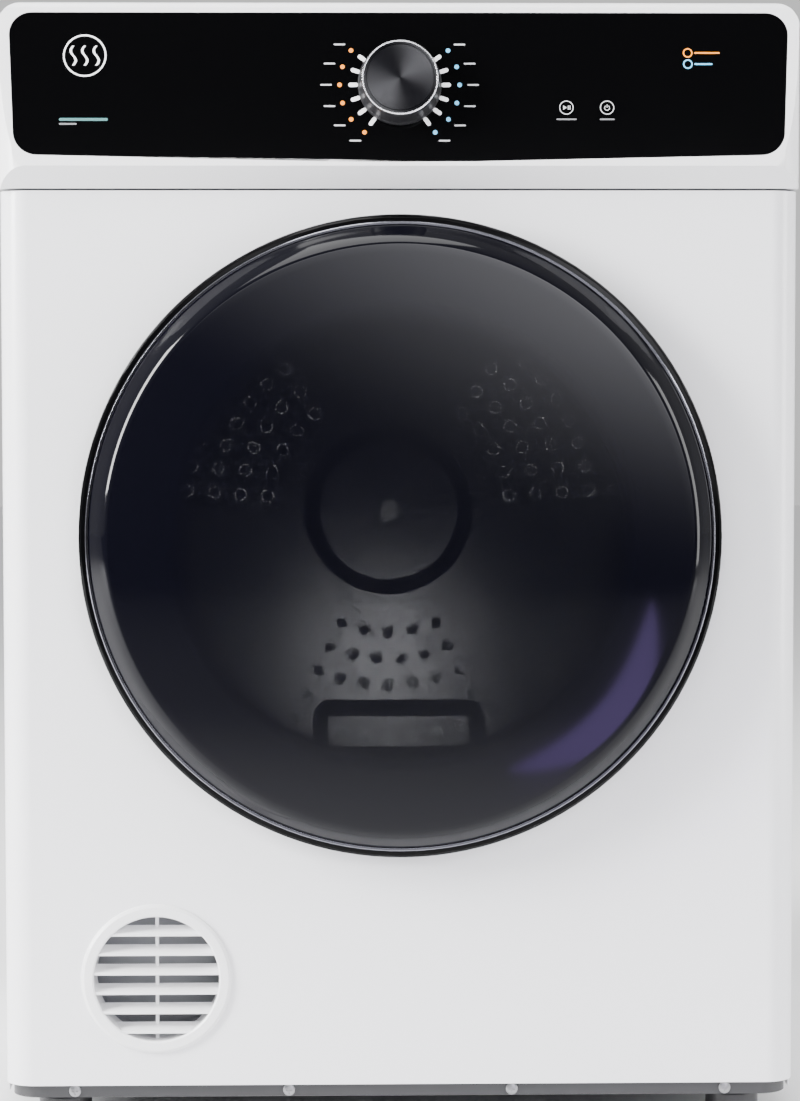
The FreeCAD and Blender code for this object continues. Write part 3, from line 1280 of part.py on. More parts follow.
def roller_place(side):
    reach = DRUM_R + ROLLER_R + CLEARANCE
    a = math.radians(ROLLER_ANGLE)
    return side * reach * math.sin(a), DOOR_Z - reach * math.cos(a)


def drum_roller(side):
    x, z = roller_place(side)
    y0 = DRUM_FRONT_Y + FELT_WIDTH
    tyre = rod(x, z, ROLLER_R, y0, y0 + ROLLER_WIDTH)
    tyre = tyre.makeFillet(2, [tyre.Edges[0], tyre.Edges[2]])
    dishes = [tube(x, z, ROLLER_R - 8, 12, y0 - 1 + i * (ROLLER_WIDTH - 5), y0 + 6 + i *
                   (ROLLER_WIDTH - 5)) for i in (0, 1)]
    wheel = tyre.cut(Part.makeCompound(dishes))
    return wheel.cut(rod(x, z, ROLLER_AXLE_R + RUN_FIT, y0 - 1, y0 + ROLLER_WIDTH + 1))


def roller_axles():
    axles = []
    for side in (-1, 1):
        x, z = roller_place(side)
        end = DRUM_FRONT_Y + FELT_WIDTH + ROLLER_WIDTH + 4
        pin = rod(x, z, ROLLER_AXLE_R, BULKHEAD_BACK, end)
        clip = tube(x, z, ROLLER_AXLE_R + 3, ROLLER_AXLE_R, end - 3.5, end - 2)
        axles.append(pin.fuse(clip))
    return axles


def cord_inlet():
    """The strain-relief bush in the rear panel where a mains lead would come in."""
    nut = rod(INLET_X, INLET_Z, 13, REAR_Y, REAR_Y + 6)
    barrel = rod(INLET_X, INLET_Z, 8, REAR_Y - 14, REAR_Y + 1)
    return nut.fuse(barrel).cut(rod(INLET_X, INLET_Z, CORD_BORE_R, REAR_Y - 20, REAR_Y + 9))


# ---------------------------------------------------------------- write every sub-part
def main():
    os.makedirs("parts", exist_ok=True)
    save("base_tray", base_tray())
    save("side_panel_right", side_panel())
    save("side_panel_left", mirrored(side_panel()))
    save("rear_panel", rear_panel())
    save("rear_cover", rear_cover())
    save("worktop", worktop())
    save("front_panel", front_panel())
    save("cabinet_screws", *cabinet_screws())
    names = ("foot_front_left", "foot_front_right", "foot_rear_left", "foot_rear_right")
    for name, place in zip(names, foot_places()):
        save(name, foot(*place))
    save("console_fascia", console_fascia())
    save("console_panel", console_panel())
    save("control_board", control_board())
    save("dial_light_guides", *dial_light_guides())
    save("selector_knob", knob_body())
    save("knob_face", knob_face())
    save("start_pause_button", button(BUTTON_X[0]))
    save("power_button", button(BUTTON_X[1]))
    save("door_outer_ring", door_outer_ring())
    save("door_trim_ring", door_trim_ring())
    save("door_window", door_window())
    save("door_inner_frame", door_inner_frame())
    save("door_glass_bowl", door_glass_bowl())
    save("door_gasket", door_gasket())
    save("door_hinge_leaf", door_hinge_leaf())
    save("door_hinge_bracket", door_hinge_bracket())
    save("door_hinge_pin", door_hinge_pin())
    save("door_latch_hook", door_latch_hook())
    save("door_catch", *door_catch())
    save("front_bulkhead", front_bulkhead())
    save("drum_felt_seals", *drum_felt_seals())
    save("drum_shell", drum_shell())
    save("drum_back", drum_back())
    save("drum_lifters", *[drum_lifter(angle) for angle in (90, 210, 330)])
    save("drum_shaft", drum_shaft())
    save("drum_bearing", drum_bearing())
    save("rear_plenum", rear_plenum())
    save("heater_housing", heater_housing())
    save("heater_element", heater_element())
    save("lint_filter_frame", lint_filter_frame())
    save("lint_filter_mesh", lint_filter_mesh())
    save("lint_duct", lint_duct())
    save("blower_housing", blower_housing())
    save("blower_impeller", blower_impeller())
    save("vent_duct", vent_duct())
    save("vent_grille", vent_grille())
    save("motor_housing", motor_housing())
    save("motor_shaft", motor_shaft())
    save("drive_pulley", drive_pulley())
    save("idler_pulley", idler_pulley())
    save("tensioner_arm", tensioner_arm())
    save("tensioner_stand", tensioner_stand())
    save("tensioner_spring", tensioner_spring())
    save("drive_belt", drive_belt())
    save("drum_roller_left", drum_roller(-1))
    save("drum_roller_right", drum_roller(1))
    save("roller_axles", *roller_axles())
    save("cord_inlet", cord_inlet())


main()
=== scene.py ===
import json
import math

import bmesh
import bpy
from mathutils import Matrix, Vector


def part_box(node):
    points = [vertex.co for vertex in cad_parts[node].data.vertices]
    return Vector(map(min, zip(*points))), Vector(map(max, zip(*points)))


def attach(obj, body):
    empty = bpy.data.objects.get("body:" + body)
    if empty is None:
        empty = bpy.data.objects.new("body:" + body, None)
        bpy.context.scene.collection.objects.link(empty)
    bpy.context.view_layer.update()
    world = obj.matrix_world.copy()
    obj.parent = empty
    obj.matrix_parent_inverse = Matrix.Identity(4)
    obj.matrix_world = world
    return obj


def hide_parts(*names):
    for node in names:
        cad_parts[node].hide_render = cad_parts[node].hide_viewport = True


bl_info = {
    "name": "Clothes Dryer",
    "version": (1, 0, 0),
    "blender": (4, 5, 0),
    "location": "View3D > Sidebar > Dryer",
    "description": "Builds the visible pieces and finishes of a front-loading clothes dryer",
    "category": "Add Mesh",
}

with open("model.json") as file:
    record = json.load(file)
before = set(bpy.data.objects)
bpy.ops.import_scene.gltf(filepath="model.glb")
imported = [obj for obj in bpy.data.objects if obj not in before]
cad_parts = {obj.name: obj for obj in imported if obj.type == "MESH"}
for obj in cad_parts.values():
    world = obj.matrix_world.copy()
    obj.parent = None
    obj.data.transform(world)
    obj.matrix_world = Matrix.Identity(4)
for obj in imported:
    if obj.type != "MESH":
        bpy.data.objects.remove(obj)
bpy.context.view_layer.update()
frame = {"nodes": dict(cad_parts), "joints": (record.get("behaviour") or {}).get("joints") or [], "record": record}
NODES = frame["nodes"]
TAU = 2 * math.pi


# ---------------------------------------------------------------- places read from the frame
def middle(node):
    low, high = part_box(node)
    return (Vector(low) + Vector(high)) / 2


DOOR_Z = middle("door_outer_ring").z
DOOR_RIM = Vector(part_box("door_outer_ring")[0]).y
WINDOW_LOW, WINDOW_HIGH = (Vector(c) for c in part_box("door_window"))
WINDOW_RADIUS = (WINDOW_HIGH.z - WINDOW_LOW.z) / 2


def joint(name):
    return next(j for j in frame["joints"] if j["name"] == name)


DIAL_CENTRE = Vector(joint("knob_turn")["pos_m"])
PANEL_OUT = Vector(joint("knob_turn")["axis"]).normalized()
PANEL_UP = Vector((0, -PANEL_OUT.z, PANEL_OUT.y)) * (1 if PANEL_OUT.y > 0 else -1)
PANEL_SIDE = Vector((1, 0, 0))


def on_panel(x, v, out=0.0):
    """A point on the console's face: x across, v up its slope, out of it by out."""
    return DIAL_CENTRE + PANEL_SIDE * x + PANEL_UP * v + PANEL_OUT * out


# ---------------------------------------------------------------- mesh building blocks
ON_AXIS = 1e-7                           # a radius smaller than this is no radius
SIDE_SHARE = 0.45                        # the most of a side that a rounded corner takes
NEARLY_STRAIGHT = math.radians(172)      # a corner wider than this isn't rounded
SAME_PLANE = math.radians(2)             # triangles flatter than this become one face
SHARP = math.radians(35)
WELD = 1e-5                              # vertices nearer than this are one


def placed(name, data):
    """An object made of some data, in the scene."""
    item = bpy.data.objects.new(name, data)
    bpy.context.scene.collection.objects.link(item)
    return item


def plain_mesh(holder):
    """The mesh that an object's modifiers give. The object itself is used up."""
    graph = bpy.context.evaluated_depsgraph_get()
    mesh = bpy.data.meshes.new_from_object(holder.evaluated_get(graph))
    bpy.data.objects.remove(holder)
    return mesh


def add_object(name, mesh, body, finish_name, smooth=True):
    """A finished piece, which takes its finish from a slot and rides on a body."""
    piece = placed(name, mesh)
    mesh.materials.clear()
    mesh.materials.append(finish(finish_name))
    if smooth is not None:
        mesh.shade_smooth() if smooth else mesh.shade_flat()
    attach(piece, body)
    return piece


def mesh_from(name, build):
    """A mesh that build draws, with its faces pointing outwards."""
    mesh = bpy.data.meshes.new(name)
    bm = bmesh.new()
    build(bm)
    bmesh.ops.recalc_face_normals(bm, faces=bm.faces)
    bm.to_mesh(mesh)
    bm.free()
    return mesh


def lathe(bm, profile, origin, axis, steps=256, closed=True):
    """Turns (radius, height) points about an axis through origin into a closed skin."""
    axis = Vector(axis).normalized()
    side = axis.orthogonal().normalized()
    other = axis.cross(side)
    rings = []
    for radius, height in profile:
        base = Vector(origin) + axis * height
        if radius < ON_AXIS:
            rings.append([bm.verts.new(base)])
            continue
        rings.append([bm.verts.new(base + (side * math.cos(a) + other * math.sin(a)) * radius)
                      for a in (TAU * i / steps for i in range(steps))])
    pairs = list(zip(rings, rings[1:]))
    if closed:
        pairs.append((rings[-1], rings[0]))
    for lower, upper in pairs:
        for i in range(steps):
            j = (i + 1) % steps
            corners = [lower[i % len(lower)], lower[j % len(lower)],
                       upper[j % len(upper)], upper[i % len(upper)]]
            unique = list(dict.fromkeys(corners))
            if len(unique) > 2:
                bm.faces.new(unique)


def rounded(profile, radius, steps=4):
    """Rounds the corners of a closed (r, h) outline by arcs of a radius, limited by its sides."""
    out = []
    count = len(profile)
    for i in range(count):
        a, b, c = (Vector(profile[(i + k) % count]) for k in (-1, 0, 1))
        before, after = a - b, c - b
        turn = before.angle(after, 0)
        reach = min(radius / max(math.tan(turn / 2), 0.05),
                    before.length * SIDE_SHARE, after.length * SIDE_SHARE)
        if turn > NEARLY_STRAIGHT or b.x < ON_AXIS:
            out.append(tuple(b))
            continue
        start = b + before.normalized() * reach
        stop = b + after.normalized() * reach
        for k in range(steps + 1):
            t = k / steps
            out.append(tuple(start * (1 - t) ** 2 + b * 2 * t * (1 - t) + stop * t * t))
    return out


def boolean_cut(mesh, cutter):
    """A mesh with the solid that cutter draws cut out of it."""
    target = placed("target", mesh)
    tool = placed("tool", mesh_from("cutter", cutter))
    cut = target.modifiers.new("cut", "BOOLEAN")
    cut.object = tool
    cut.solver = "EXACT"
    result = plain_mesh(target)
    bpy.data.objects.remove(tool)
    return result


def block(bm, low, high):
    size = Vector(high) - Vector(low)
    place = Matrix.Translation((Vector(low) + Vector(high)) / 2) @ Matrix.Diagonal((*size, 1))
    bmesh.ops.create_cube(bm, size=1, matrix=place)


def softened(node, body, finish_name, width, angle=30):
    """A copy of a CAD node with its edges rounded, standing for that node."""
    mesh = NODES[node].data.copy()
    bm = bmesh.new()
    bm.from_mesh(mesh)
    bmesh.ops.remove_doubles(bm, verts=bm.verts, dist=WELD)
    bmesh.ops.dissolve_limit(bm, angle_limit=SAME_PLANE, verts=bm.verts, edges=bm.edges)
    bm.to_mesh(mesh)
    bm.free()
    holder = placed("holder", mesh)
    bevel = holder.modifiers.new("round", "BEVEL")
    bevel.width = width
    bevel.segments = 3
    bevel.limit_method = "ANGLE"
    bevel.angle_limit = math.radians(angle)
    bevel.use_clamp_overlap = True
    mesh.shade_smooth()
    mesh.set_sharp_from_angle(angle=SHARP)
    even = holder.modifiers.new("even", "WEIGHTED_NORMAL")
    even.weight = 100
    even.keep_sharp = True
    piece = add_object(node + "_skin", plain_mesh(holder), body, finish_name, smooth=None)
    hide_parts(node)


def smooth_by_angle(mesh, degrees):
    mesh.shade_smooth()
    mesh.set_sharp_from_angle(angle=math.radians(degrees))


def flat_shape(bm, outline, thick, place):
    """A thin plate from (x, v) points: place(x, v, out) gives each corner."""
    back = [bm.verts.new(place(x, v, 0.0)) for x, v in outline]
    front = [bm.verts.new(place(x, v, thick)) for x, v in outline]
    bm.faces.new(back[::-1])
    bm.faces.new(front)
    for i in range(len(outline)):
        j = (i + 1) % len(outline)
        bm.faces.new([back[i], back[j], front[j], front[i]])


def rectangle(left, right, low, high):
    return [(left, low), (right, low), (right, high), (left, high)]


def stadium(x, v, length, width, steps=8):
    """The outline of a bar with round ends, centred at (x, v)."""
    half = (length - width) / 2
    points = []
    for end in (1, -1):
        for k in range(steps + 1):
            a = -math.pi / 2 + math.pi * k / steps + (0 if end > 0 else math.pi)
            points.append((x + end * half + width / 2 * math.cos(a),
                           v + width / 2 * math.sin(a)))
    return points


def ring_band(bm, x, v, inner, outer, thick, place, start=0.0, stop=TAU, steps=40):
    """A flat ring or arc of a thickness: place(x, v, out) gives each corner."""
    whole = abs(stop - start - TAU) < 1e-6
    angles = [start + (stop - start) * i / steps for i in range(steps + (0 if whole else 1))]
    loops = [[bm.verts.new(place(x + r * math.cos(a), v + r * math.sin(a), out)) for a in angles]
             for r, out in ((inner, 0), (outer, 0), (outer, thick), (inner, thick))]
    count = len(angles)
    for k in range(4):
        first, second = loops[k], loops[(k + 1) % 4]
        for i in range(count if whole else count - 1):
            j = (i + 1) % count
            bm.faces.new([first[i], first[j], second[j], second[i]])
    if not whole:
        bm.faces.new([loop[0] for loop in loops][::-1])
        bm.faces.new([loop[-1] for loop in loops])


# ---------------------------------------------------------------- shader building blocks
class Wire:
    """A node's output that takes part in sums."""

    def __init__(self, maker, socket):
        self.maker = maker
        self.socket = socket

    def __add__(self, other):
        return self.maker.maths("ADD", self, other)

    def __mul__(self, other):
        return self.maker.maths("MULTIPLY", self, other)

    def __truediv__(self, other):
        return self.maker.maths("DIVIDE", self, other)

    def __rsub__(self, other):
        return self.maker.maths("SUBTRACT", other, self)

    def __pow__(self, other):
        return self.maker.maths("POWER", self, other)

    __radd__ = __add__
    __rmul__ = __mul__


class NodeTree:
    """A tree whose nodes all come from one method."""

    def __init__(self, tree):
        self.tree = tree

    def feed(self, socket, value):
        if isinstance(value, Wire):
            self.tree.links.new(value.socket, socket)
        else:
            socket.default_value = value

    def node(self, kind, settings=None, inputs=None, out=0):
        """A node of a kind: its settings first, then its inputs' values or links."""
        made = self.tree.nodes.new(kind)
        for key, value in (settings or {}).items():
            setattr(made, key, value)
        for key, value in (inputs or {}).items():
            self.feed(made.inputs[key], value)
        return Wire(self, made.outputs[out])

    def maths(self, operation, *values):
        return self.node("ShaderNodeMath", {"operation": operation}, dict(enumerate(values)))

    def vectors(self, operation, *values, out=0):
        return self.node("ShaderNodeVectorMath", {"operation": operation},
                         dict(enumerate(values)), out)

    def ramp(self, value, start, stop, low=0.0, high=1.0):
        """A smooth step from low to high while the value goes from start to stop."""
        return self.node("ShaderNodeMapRange", {"interpolation_type": "SMOOTHSTEP"}, {
            "Value": value, "From Min": start, "From Max": stop, "To Min": low, "To Max": high})


class Finish(NodeTree):
    """One material and the nodes that make it."""

    def __init__(self, name, **sockets):
        self.material = bpy.data.materials.new(name)
        self.material.use_nodes = True
        super().__init__(self.material.node_tree)
        self.bsdf = self.tree.nodes["Principled BSDF"]
        self.set(**sockets)
        if "Base_Color" in sockets:
            self.material.diffuse_color = sockets["Base_Color"]

    def set(self, **sockets):
        """Values or links for the shader's own sockets, by name."""
        for name, value in sockets.items():
            self.feed(self.bsdf.inputs[name.replace("_", " ")], value)

    def place(self):
        return self.node("ShaderNodeTexCoord", out="Object")

    def noise(self, scale, detail=3.0, roughness=0.5, stretch=None):
        vector = self.place()
        if stretch:
            vector = self.node("ShaderNodeMapping", {}, {"Vector": vector, "Scale": stretch})
        return self.node("ShaderNodeTexNoise", {}, {"Vector": vector, "Scale": scale,
                                                    "Detail": detail, "Roughness": roughness})

    def blend(self, factor, first, second):
        """A mix of two colours, which are the seventh and eighth inputs of a Mix node."""
        return self.node("ShaderNodeMix", {"data_type": "RGBA"}, {0: factor, 6: first, 7: second},
                         out=2)

    def bump(self, height, distance, strength=1.0):
        self.set(Normal=self.node("ShaderNodeBump", {}, {"Height": height, "Distance": distance,
                                                         "Strength": strength}))
        return self

    def axis(self, index):
        """One of the object's three coordinates."""
        return self.node("ShaderNodeSeparateXYZ", {}, {0: self.place()}, out=index)

    def from_line(self, centre, direction):
        """The distance from an axis and the coordinates across it, in metres."""
        away = self.vectors("SUBTRACT", self.place(), tuple(centre))
        along = self.vectors("PROJECT", away, tuple(direction))
        across = self.vectors("SUBTRACT", away, along)
        return self.vectors("LENGTH", across, out="Value"), across


def rgb(r, g, b):
    return (r, g, b, 1.0)


def enamel(name, colour, roughness=0.3):
    f = Finish(name, Base_Color=colour, Roughness=roughness, Coat_Weight=0.25, Coat_Roughness=0.12)
    f.set(Roughness=roughness - 0.04 + f.noise(6, 2) * 0.08)
    return f.bump(f.noise(420, 2), 0.00004, 0.35)


def moulded(name, colour, roughness, grain=1400, depth=0.00003, coat=0.0):
    f = Finish(name, Base_Color=colour, Roughness=roughness, Coat_Weight=coat, Coat_Roughness=0.05)
    f.set(Roughness=roughness - 0.03 + f.noise(35, 3) * 0.06)
    return f.bump(f.noise(grain, 2), depth, 0.4)


def polished_black(name, colour, roughness=0.05):
    f = Finish(name, Base_Color=colour, Roughness=roughness, Specular_IOR_Level=0.08)
    f.set(Roughness=roughness + f.noise(18, 4, 0.6) * 0.03)
    return f


CLEAR_RADIUS, BORDER_RADIUS = 0.150, 0.176       # where the window's black border starts, ends


def smoked_window(name, colour, cover):
    """Dark tinted polycarbonate: a black border, and a middle thin enough to see the drum by."""
    f = Finish(name, Base_Color=colour, Roughness=0.04, Specular_IOR_Level=0.22)
    radius, across = f.from_line((0, 0, DOOR_Z), (0, 1, 0))
    f.set(Roughness=0.05 + f.noise(9, 2) * 0.04,
          Alpha=f.ramp(radius, CLEAR_RADIUS, BORDER_RADIUS, cover))
    return f


def clear_glass(name):
    f = Finish(name, Base_Color=rgb(0.55, 0.6, 0.6), Roughness=0.03, Alpha=0.14, IOR=1.5)
    f.set(Roughness=0.02 + f.noise(12, 2) * 0.03)
    return f


def bright_metal(name, colour, roughness, scratch=(1, 1, 1), scale=300):
    f = Finish(name, Base_Color=colour, Metallic=1.0, Roughness=roughness)
    grain = f.noise(scale, 3, 0.6, scratch)
    f.set(Roughness=roughness * 0.75 + grain * roughness * 0.5)
    return f.bump(grain, 0.00004, 0.3)


PAINTED_SHEEN_SIDE, PAINTED_SHEEN_UP = 0.8, 0.6          # which way the bow-tie sheen, a painted highlight, lies
PAINTED_SHEEN_HOLE = 0.0004                      # softens its middle
RING_PITCH = 14000                       # turned rings, in radians per metre


def spun_metal(name, dark, light):
    """Metal turned on a lathe: fine rings in the bump, and a broad bow-tie sheen painted into the base colour as a
    highlight.
    """
    f = Finish(name, Metallic=1.0, Roughness=0.28)
    radius, across = f.from_line(DIAL_CENTRE, PANEL_OUT)
    lie = (PANEL_SIDE * PAINTED_SHEEN_SIDE + PANEL_UP * PAINTED_SHEEN_UP).normalized()
    side = f.vectors("DOT_PRODUCT", across, tuple(lie), out="Value")
    painted_sheen = (side / (radius + PAINTED_SHEEN_HOLE)) ** 2
    # painted highlight: the base colour runs from dark to light along one line across the face, standing in for
    # the bow-tie sheen
    f.set(Base_Color=f.blend(painted_sheen ** 1.6, dark, light))
    return f.bump(f.maths("SINE", radius * RING_PITCH), 0.00003, 0.5)


def galvanised(name):
    f = Finish(name, Metallic=1.0, Roughness=0.4)
    flake = f.node("ShaderNodeTexVoronoi", {}, {"Vector": f.place(), "Scale": 90.0}, out="Color")
    grey = f.node("ShaderNodeSeparateColor", {}, {0: flake})
    f.set(Base_Color=f.blend(grey, rgb(0.42, 0.43, 0.45), rgb(0.62, 0.63, 0.64)),
          Roughness=0.32 + grey * 0.18)
    return f


def brushed_drum(name):
    """Satin steel drawn round the drum."""
    f = Finish(name, Metallic=1.0, Base_Color=rgb(0.1, 0.1, 0.105), Roughness=0.3)
    grain = f.noise(60, 4, 0.6, (1, 30, 1))
    f.set(Roughness=0.24 + grain * 0.16)
    return f.bump(grain, 0.00006, 0.3)


def woven(name, dark, light, scale, depth):
    f = Finish(name, Roughness=0.9, Sheen_Weight=0.3)
    fibre = f.noise(scale, 5, 0.75)
    f.set(Base_Color=f.blend(fibre, dark, light))
    return f.bump(fibre, depth, 0.8)


def rubbery(name, colour):
    f = Finish(name, Base_Color=colour, Roughness=0.62)
    dust = f.noise(240, 4, 0.7)
    f.set(Roughness=0.5 + dust * 0.25)
    return f.bump(dust, 0.00008, 0.5)


def circuit_board(name):
    f = Finish(name, Roughness=0.35, Coat_Weight=0.3)
    track = f.node("ShaderNodeTexBrick", {"offset": 0.4}, {
        "Vector": f.place(), "Scale": 60.0, "Color1": rgb(0.02, 0.16, 0.07),
        "Color2": rgb(0.03, 0.2, 0.09), "Mortar": rgb(0.12, 0.42, 0.2), "Mortar Size": 0.03})
    f.set(Base_Color=track)
    return f


def glowing(name, colour, strength):
    f = Finish(name, Base_Color=colour, Roughness=0.4, Emission_Color=colour,
               Emission_Strength=strength)
    f.set(Roughness=0.35 + f.noise(500, 1) * 0.1)
    return f


def printed(name, colour):
    f = Finish(name, Base_Color=colour, Roughness=0.5)
    f.set(Roughness=0.45 + f.noise(900, 1) * 0.1)
    return f


FINISHES = {}


def make_finishes():
    """Every finish by name, in one place."""
    look = bpy.context.scene.dryer_finishes
    make = FINISHES
    make["enamel"] = enamel("white_enamel", look.enamel)
    make["plastic"] = moulded("white_moulding", look.moulding, 0.34, coat=0.1)
    make["gloss"] = polished_black("black_gloss", look.gloss)
    make["gloss_ring"] = polished_black("ring_gloss", look.gloss, 0.09)
    make["window"] = smoked_window("smoked_window", look.window, look.window_cover)
    make["glass"] = clear_glass("bowl_glass")
    make["chrome"] = bright_metal("bright_trim", rgb(0.75, 0.75, 0.78), 0.16)
    make["dark_chrome"] = bright_metal("smoked_trim", rgb(0.2, 0.2, 0.23), 0.14)
    make["spun"] = spun_metal("spun_face", rgb(0.006, 0.006, 0.007), rgb(0.085, 0.085, 0.09))
    make["black"] = moulded("black_moulding", rgb(0.018, 0.018, 0.02), 0.38)
    make["grey"] = moulded("grey_moulding", rgb(0.23, 0.235, 0.25), 0.5, 700, 0.00006)
    make["guide"] = glowing("tick_white", look.tick, 0.55)
    make["warm"] = glowing("lamp_orange", look.warm, 0.5)
    make["cool"] = glowing("lamp_blue", look.cool, 0.5)
    make["print_white"] = printed("print_white", rgb(0.62, 0.62, 0.64))
    make["print_grey"] = printed("print_grey", rgb(0.2, 0.2, 0.21))
    make["print_teal"] = printed("print_teal", rgb(0.06, 0.2, 0.2))
    make["board"] = circuit_board("circuit_board")
    make["zinc"] = bright_metal("zinc_plate", rgb(0.3, 0.3, 0.31), 0.32)
    make["galvanised"] = galvanised("galvanised_sheet")
    make["drum"] = brushed_drum("drum_steel")
    # painted highlight: the rims are pressed in the drum's own steel, painted pale grey where their beads catch
    # light
    make["rim"] = moulded("pressed_rim", rgb(0.72, 0.72, 0.75), 0.35)
    make["dark_steel"] = enamel("dark_grey_enamel", rgb(0.022, 0.022, 0.024), 0.5)
    make["heater"] = bright_metal("heater_sheath", rgb(0.28, 0.22, 0.17), 0.45)
    make["bronze"] = bright_metal("sintered_bronze", rgb(0.45, 0.3, 0.14), 0.5)
    make["felt"] = woven("felt", rgb(0.2, 0.19, 0.17), rgb(0.45, 0.43, 0.39), 900, 0.0006)
    make["mesh"] = woven("filter_cloth", rgb(0.4, 0.4, 0.39), rgb(0.7, 0.7, 0.68), 2600, 0.0002)
    make["rubber"] = rubbery("black_rubber", rgb(0.022, 0.022, 0.022))
    make["seal"] = rubbery("grey_seal", rgb(0.14, 0.14, 0.145))


CAD_FINISH = {
    "white_enamel": "enamel", "white_plastic": "plastic", "black_gloss_plastic": "gloss",
    "smoked_window": "window", "clear_glass": "glass", "chrome_trim": "chrome",
    "spun_aluminium": "spun", "black_plastic": "black", "grey_plastic": "grey",
    "light_guide": "guide", "circuit_board": "board", "zinc_steel": "zinc",
    "galvanised_sheet": "galvanised", "drum_steel": "drum", "dark_grey_steel": "dark_steel",
    "heater_sheath": "heater", "sintered_bronze": "bronze", "felt": "felt",
    "grey_rubber": "seal", "black_rubber": "rubber", "filter_mesh": "mesh",
}


def finish(name):
    """The material of a named finish."""
    return FINISHES[name].material


# ---------------------------------------------------------------- geometry node building blocks
ROUND_END = 0.498        # end radius over a bar's width: a true half would fold the outline


class Pattern(NodeTree):
    """A geometry node tree with named inputs, turned into a plain mesh by mesh()."""

    KINDS = {float: "NodeSocketFloat", int: "NodeSocketInt", Vector: "NodeSocketVector"}

    def __init__(self, name, spots=(), **inputs):
        super().__init__(bpy.data.node_groups.new(name, "GeometryNodeTree"))
        self.name = name
        self.spots = spots
        self.values = inputs
        sockets = self.tree.interface
        for way in ("OUTPUT", "INPUT"):
            sockets.new_socket("Geometry", in_out=way, socket_type="NodeSocketGeometry")
        for key, value in inputs.items():
            sockets.new_socket(key, in_out="INPUT", socket_type=self.KINDS[type(value)])
        self.source = self.tree.nodes.new("NodeGroupInput")
        self.result = self.tree.nodes.new("NodeGroupOutput")

    def __getitem__(self, key):
        return Wire(self, self.source.outputs[key])

    def bar(self, length, width, thick):
        """A bar with round ends: length along X, width along Y, standing out along Z."""
        outline = self.node("GeometryNodeCurvePrimitiveQuadrilateral", {},
                            {"Width": length, "Height": width})
        round_end = self.node("GeometryNodeFilletCurve", {"mode": "POLY"}, {
            "Curve": outline, "Count": 8, "Radius": width * ROUND_END})
        face = self.node("GeometryNodeFillCurve", {"mode": "NGONS"}, {"Curve": round_end})
        return self.node("GeometryNodeExtrudeMesh", {}, {
            "Mesh": face, "Offset Scale": thick, "Individual": False})

    def circle(self, radius, count):
        return self.node("GeometryNodeCurvePrimitiveCircle", {},
                         {"Resolution": count, "Radius": radius})

    def repeat(self, shape, points, turn):
        """The shape at every point, turned."""
        return self.node("GeometryNodeInstanceOnPoints", {}, {
            "Points": points, "Instance": shape, "Rotation": turn})

    def mesh(self, geometry, finish_name):
        """The tree's result as a plain mesh of one finish."""
        real = self.node("GeometryNodeRealizeInstances", {}, {"Geometry": geometry})
        painted = self.node("GeometryNodeSetMaterial", {}, {
            "Geometry": real, "Material": finish(finish_name)})
        self.feed(self.result.inputs[0], painted)
        start = mesh_from(self.name, lambda bm: [bm.verts.new(spot) for spot in self.spots])
        holder = placed(self.name, start)
        live = holder.modifiers.new(self.name, "NODES")
        live.node_group = self.tree
        for item in self.tree.interface.items_tree:
            if item.in_out == "INPUT" and item.name in self.values:
                value = self.values[item.name]
                live[item.identifier] = tuple(value) if isinstance(value, Vector) else value
        return plain_mesh(holder)


def closed_up(mesh):
    """Merges doubles and points every face outwards."""
    bm = bmesh.new()
    bm.from_mesh(mesh)
    bmesh.ops.remove_doubles(bm, verts=bm.verts, dist=1e-7)
    bmesh.ops.recalc_face_normals(bm, faces=bm.faces)
    bm.to_mesh(mesh)
    bm.free()
    return mesh


# ---------------------------------------------------------------- door
CROWN_SHARE = 0.42       # how much of the window's bulge is gone where its shoulder starts
EDGE_SLOPE = -1.05       # how steeply the shoulder meets the ring
WINDOW_RIM = 0.0004      # height of the window's edge above the door's rim
CROWN_STEPS, SHOULDER_STEPS = 40, 32


def crown_profile(offset, edge, apex, shoulder_width, rim):
    """The window's line from its middle out to its edge, as (radius, height)."""
    shoulder = edge - shoulder_width
    drop = (apex - rim) * CROWN_SHARE
    points = []
    for k in range(CROWN_STEPS + 1):
        t = k / CROWN_STEPS
        points.append((shoulder * t, apex - offset - drop * t ** 2))
    slope = -2 * drop / shoulder
    start = apex - offset - drop
    end = rim - offset
    width = edge - shoulder
    for k in range(1, SHOULDER_STEPS + 1):
        t = k / SHOULDER_STEPS
        height = ((2 * t ** 3 - 3 * t * t + 1) * start
                  + (t ** 3 - 2 * t * t + t) * width * slope
                  + (3 * t * t - 2 * t ** 3) * end
                  + (t ** 3 - t * t) * width * EDGE_SLOPE)
        points.append((shoulder + width * t, height))
    return points


def make_door(look):
    """The domed window, and the door's two rings with their edges rounded."""
    apex = DOOR_RIM - WINDOW_LOW.y
    outer, inner = (crown_profile(offset, WINDOW_RADIUS, apex, look.window_shoulder, WINDOW_RIM)
                    for offset in (0.0, look.window_thick))
    skin = mesh_from("door_window_skin", lambda bm: lathe(
        bm, outer + inner[::-1], (0, DOOR_RIM, DOOR_Z), (0, -1, 0), 384, closed=False))
    piece = add_object("door_window_skin", skin, "door", "window")
    smooth_by_angle(skin, 50)
    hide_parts("door_window")
    softened("door_outer_ring", "door", "gloss_ring", 0.0003, angle=40)
    softened("door_trim_ring", "door", "dark_chrome", 0.0003, angle=40)


# ---------------------------------------------------------------- console
DIAL_BARS, BAR_STEP = 6, 18              # on each side, and the degrees between them
WORD_LONG, WORD_WIDE = 0.0085, 0.0011    # the plain bars that stand for the dial's words
WORD_GAP, WORD_SHIFT = 0.0078, 0.0022    # out from a lamp, and sideways
LAMP_SQUASH = 0.998                      # a lamp is a bar this much wider than it is high

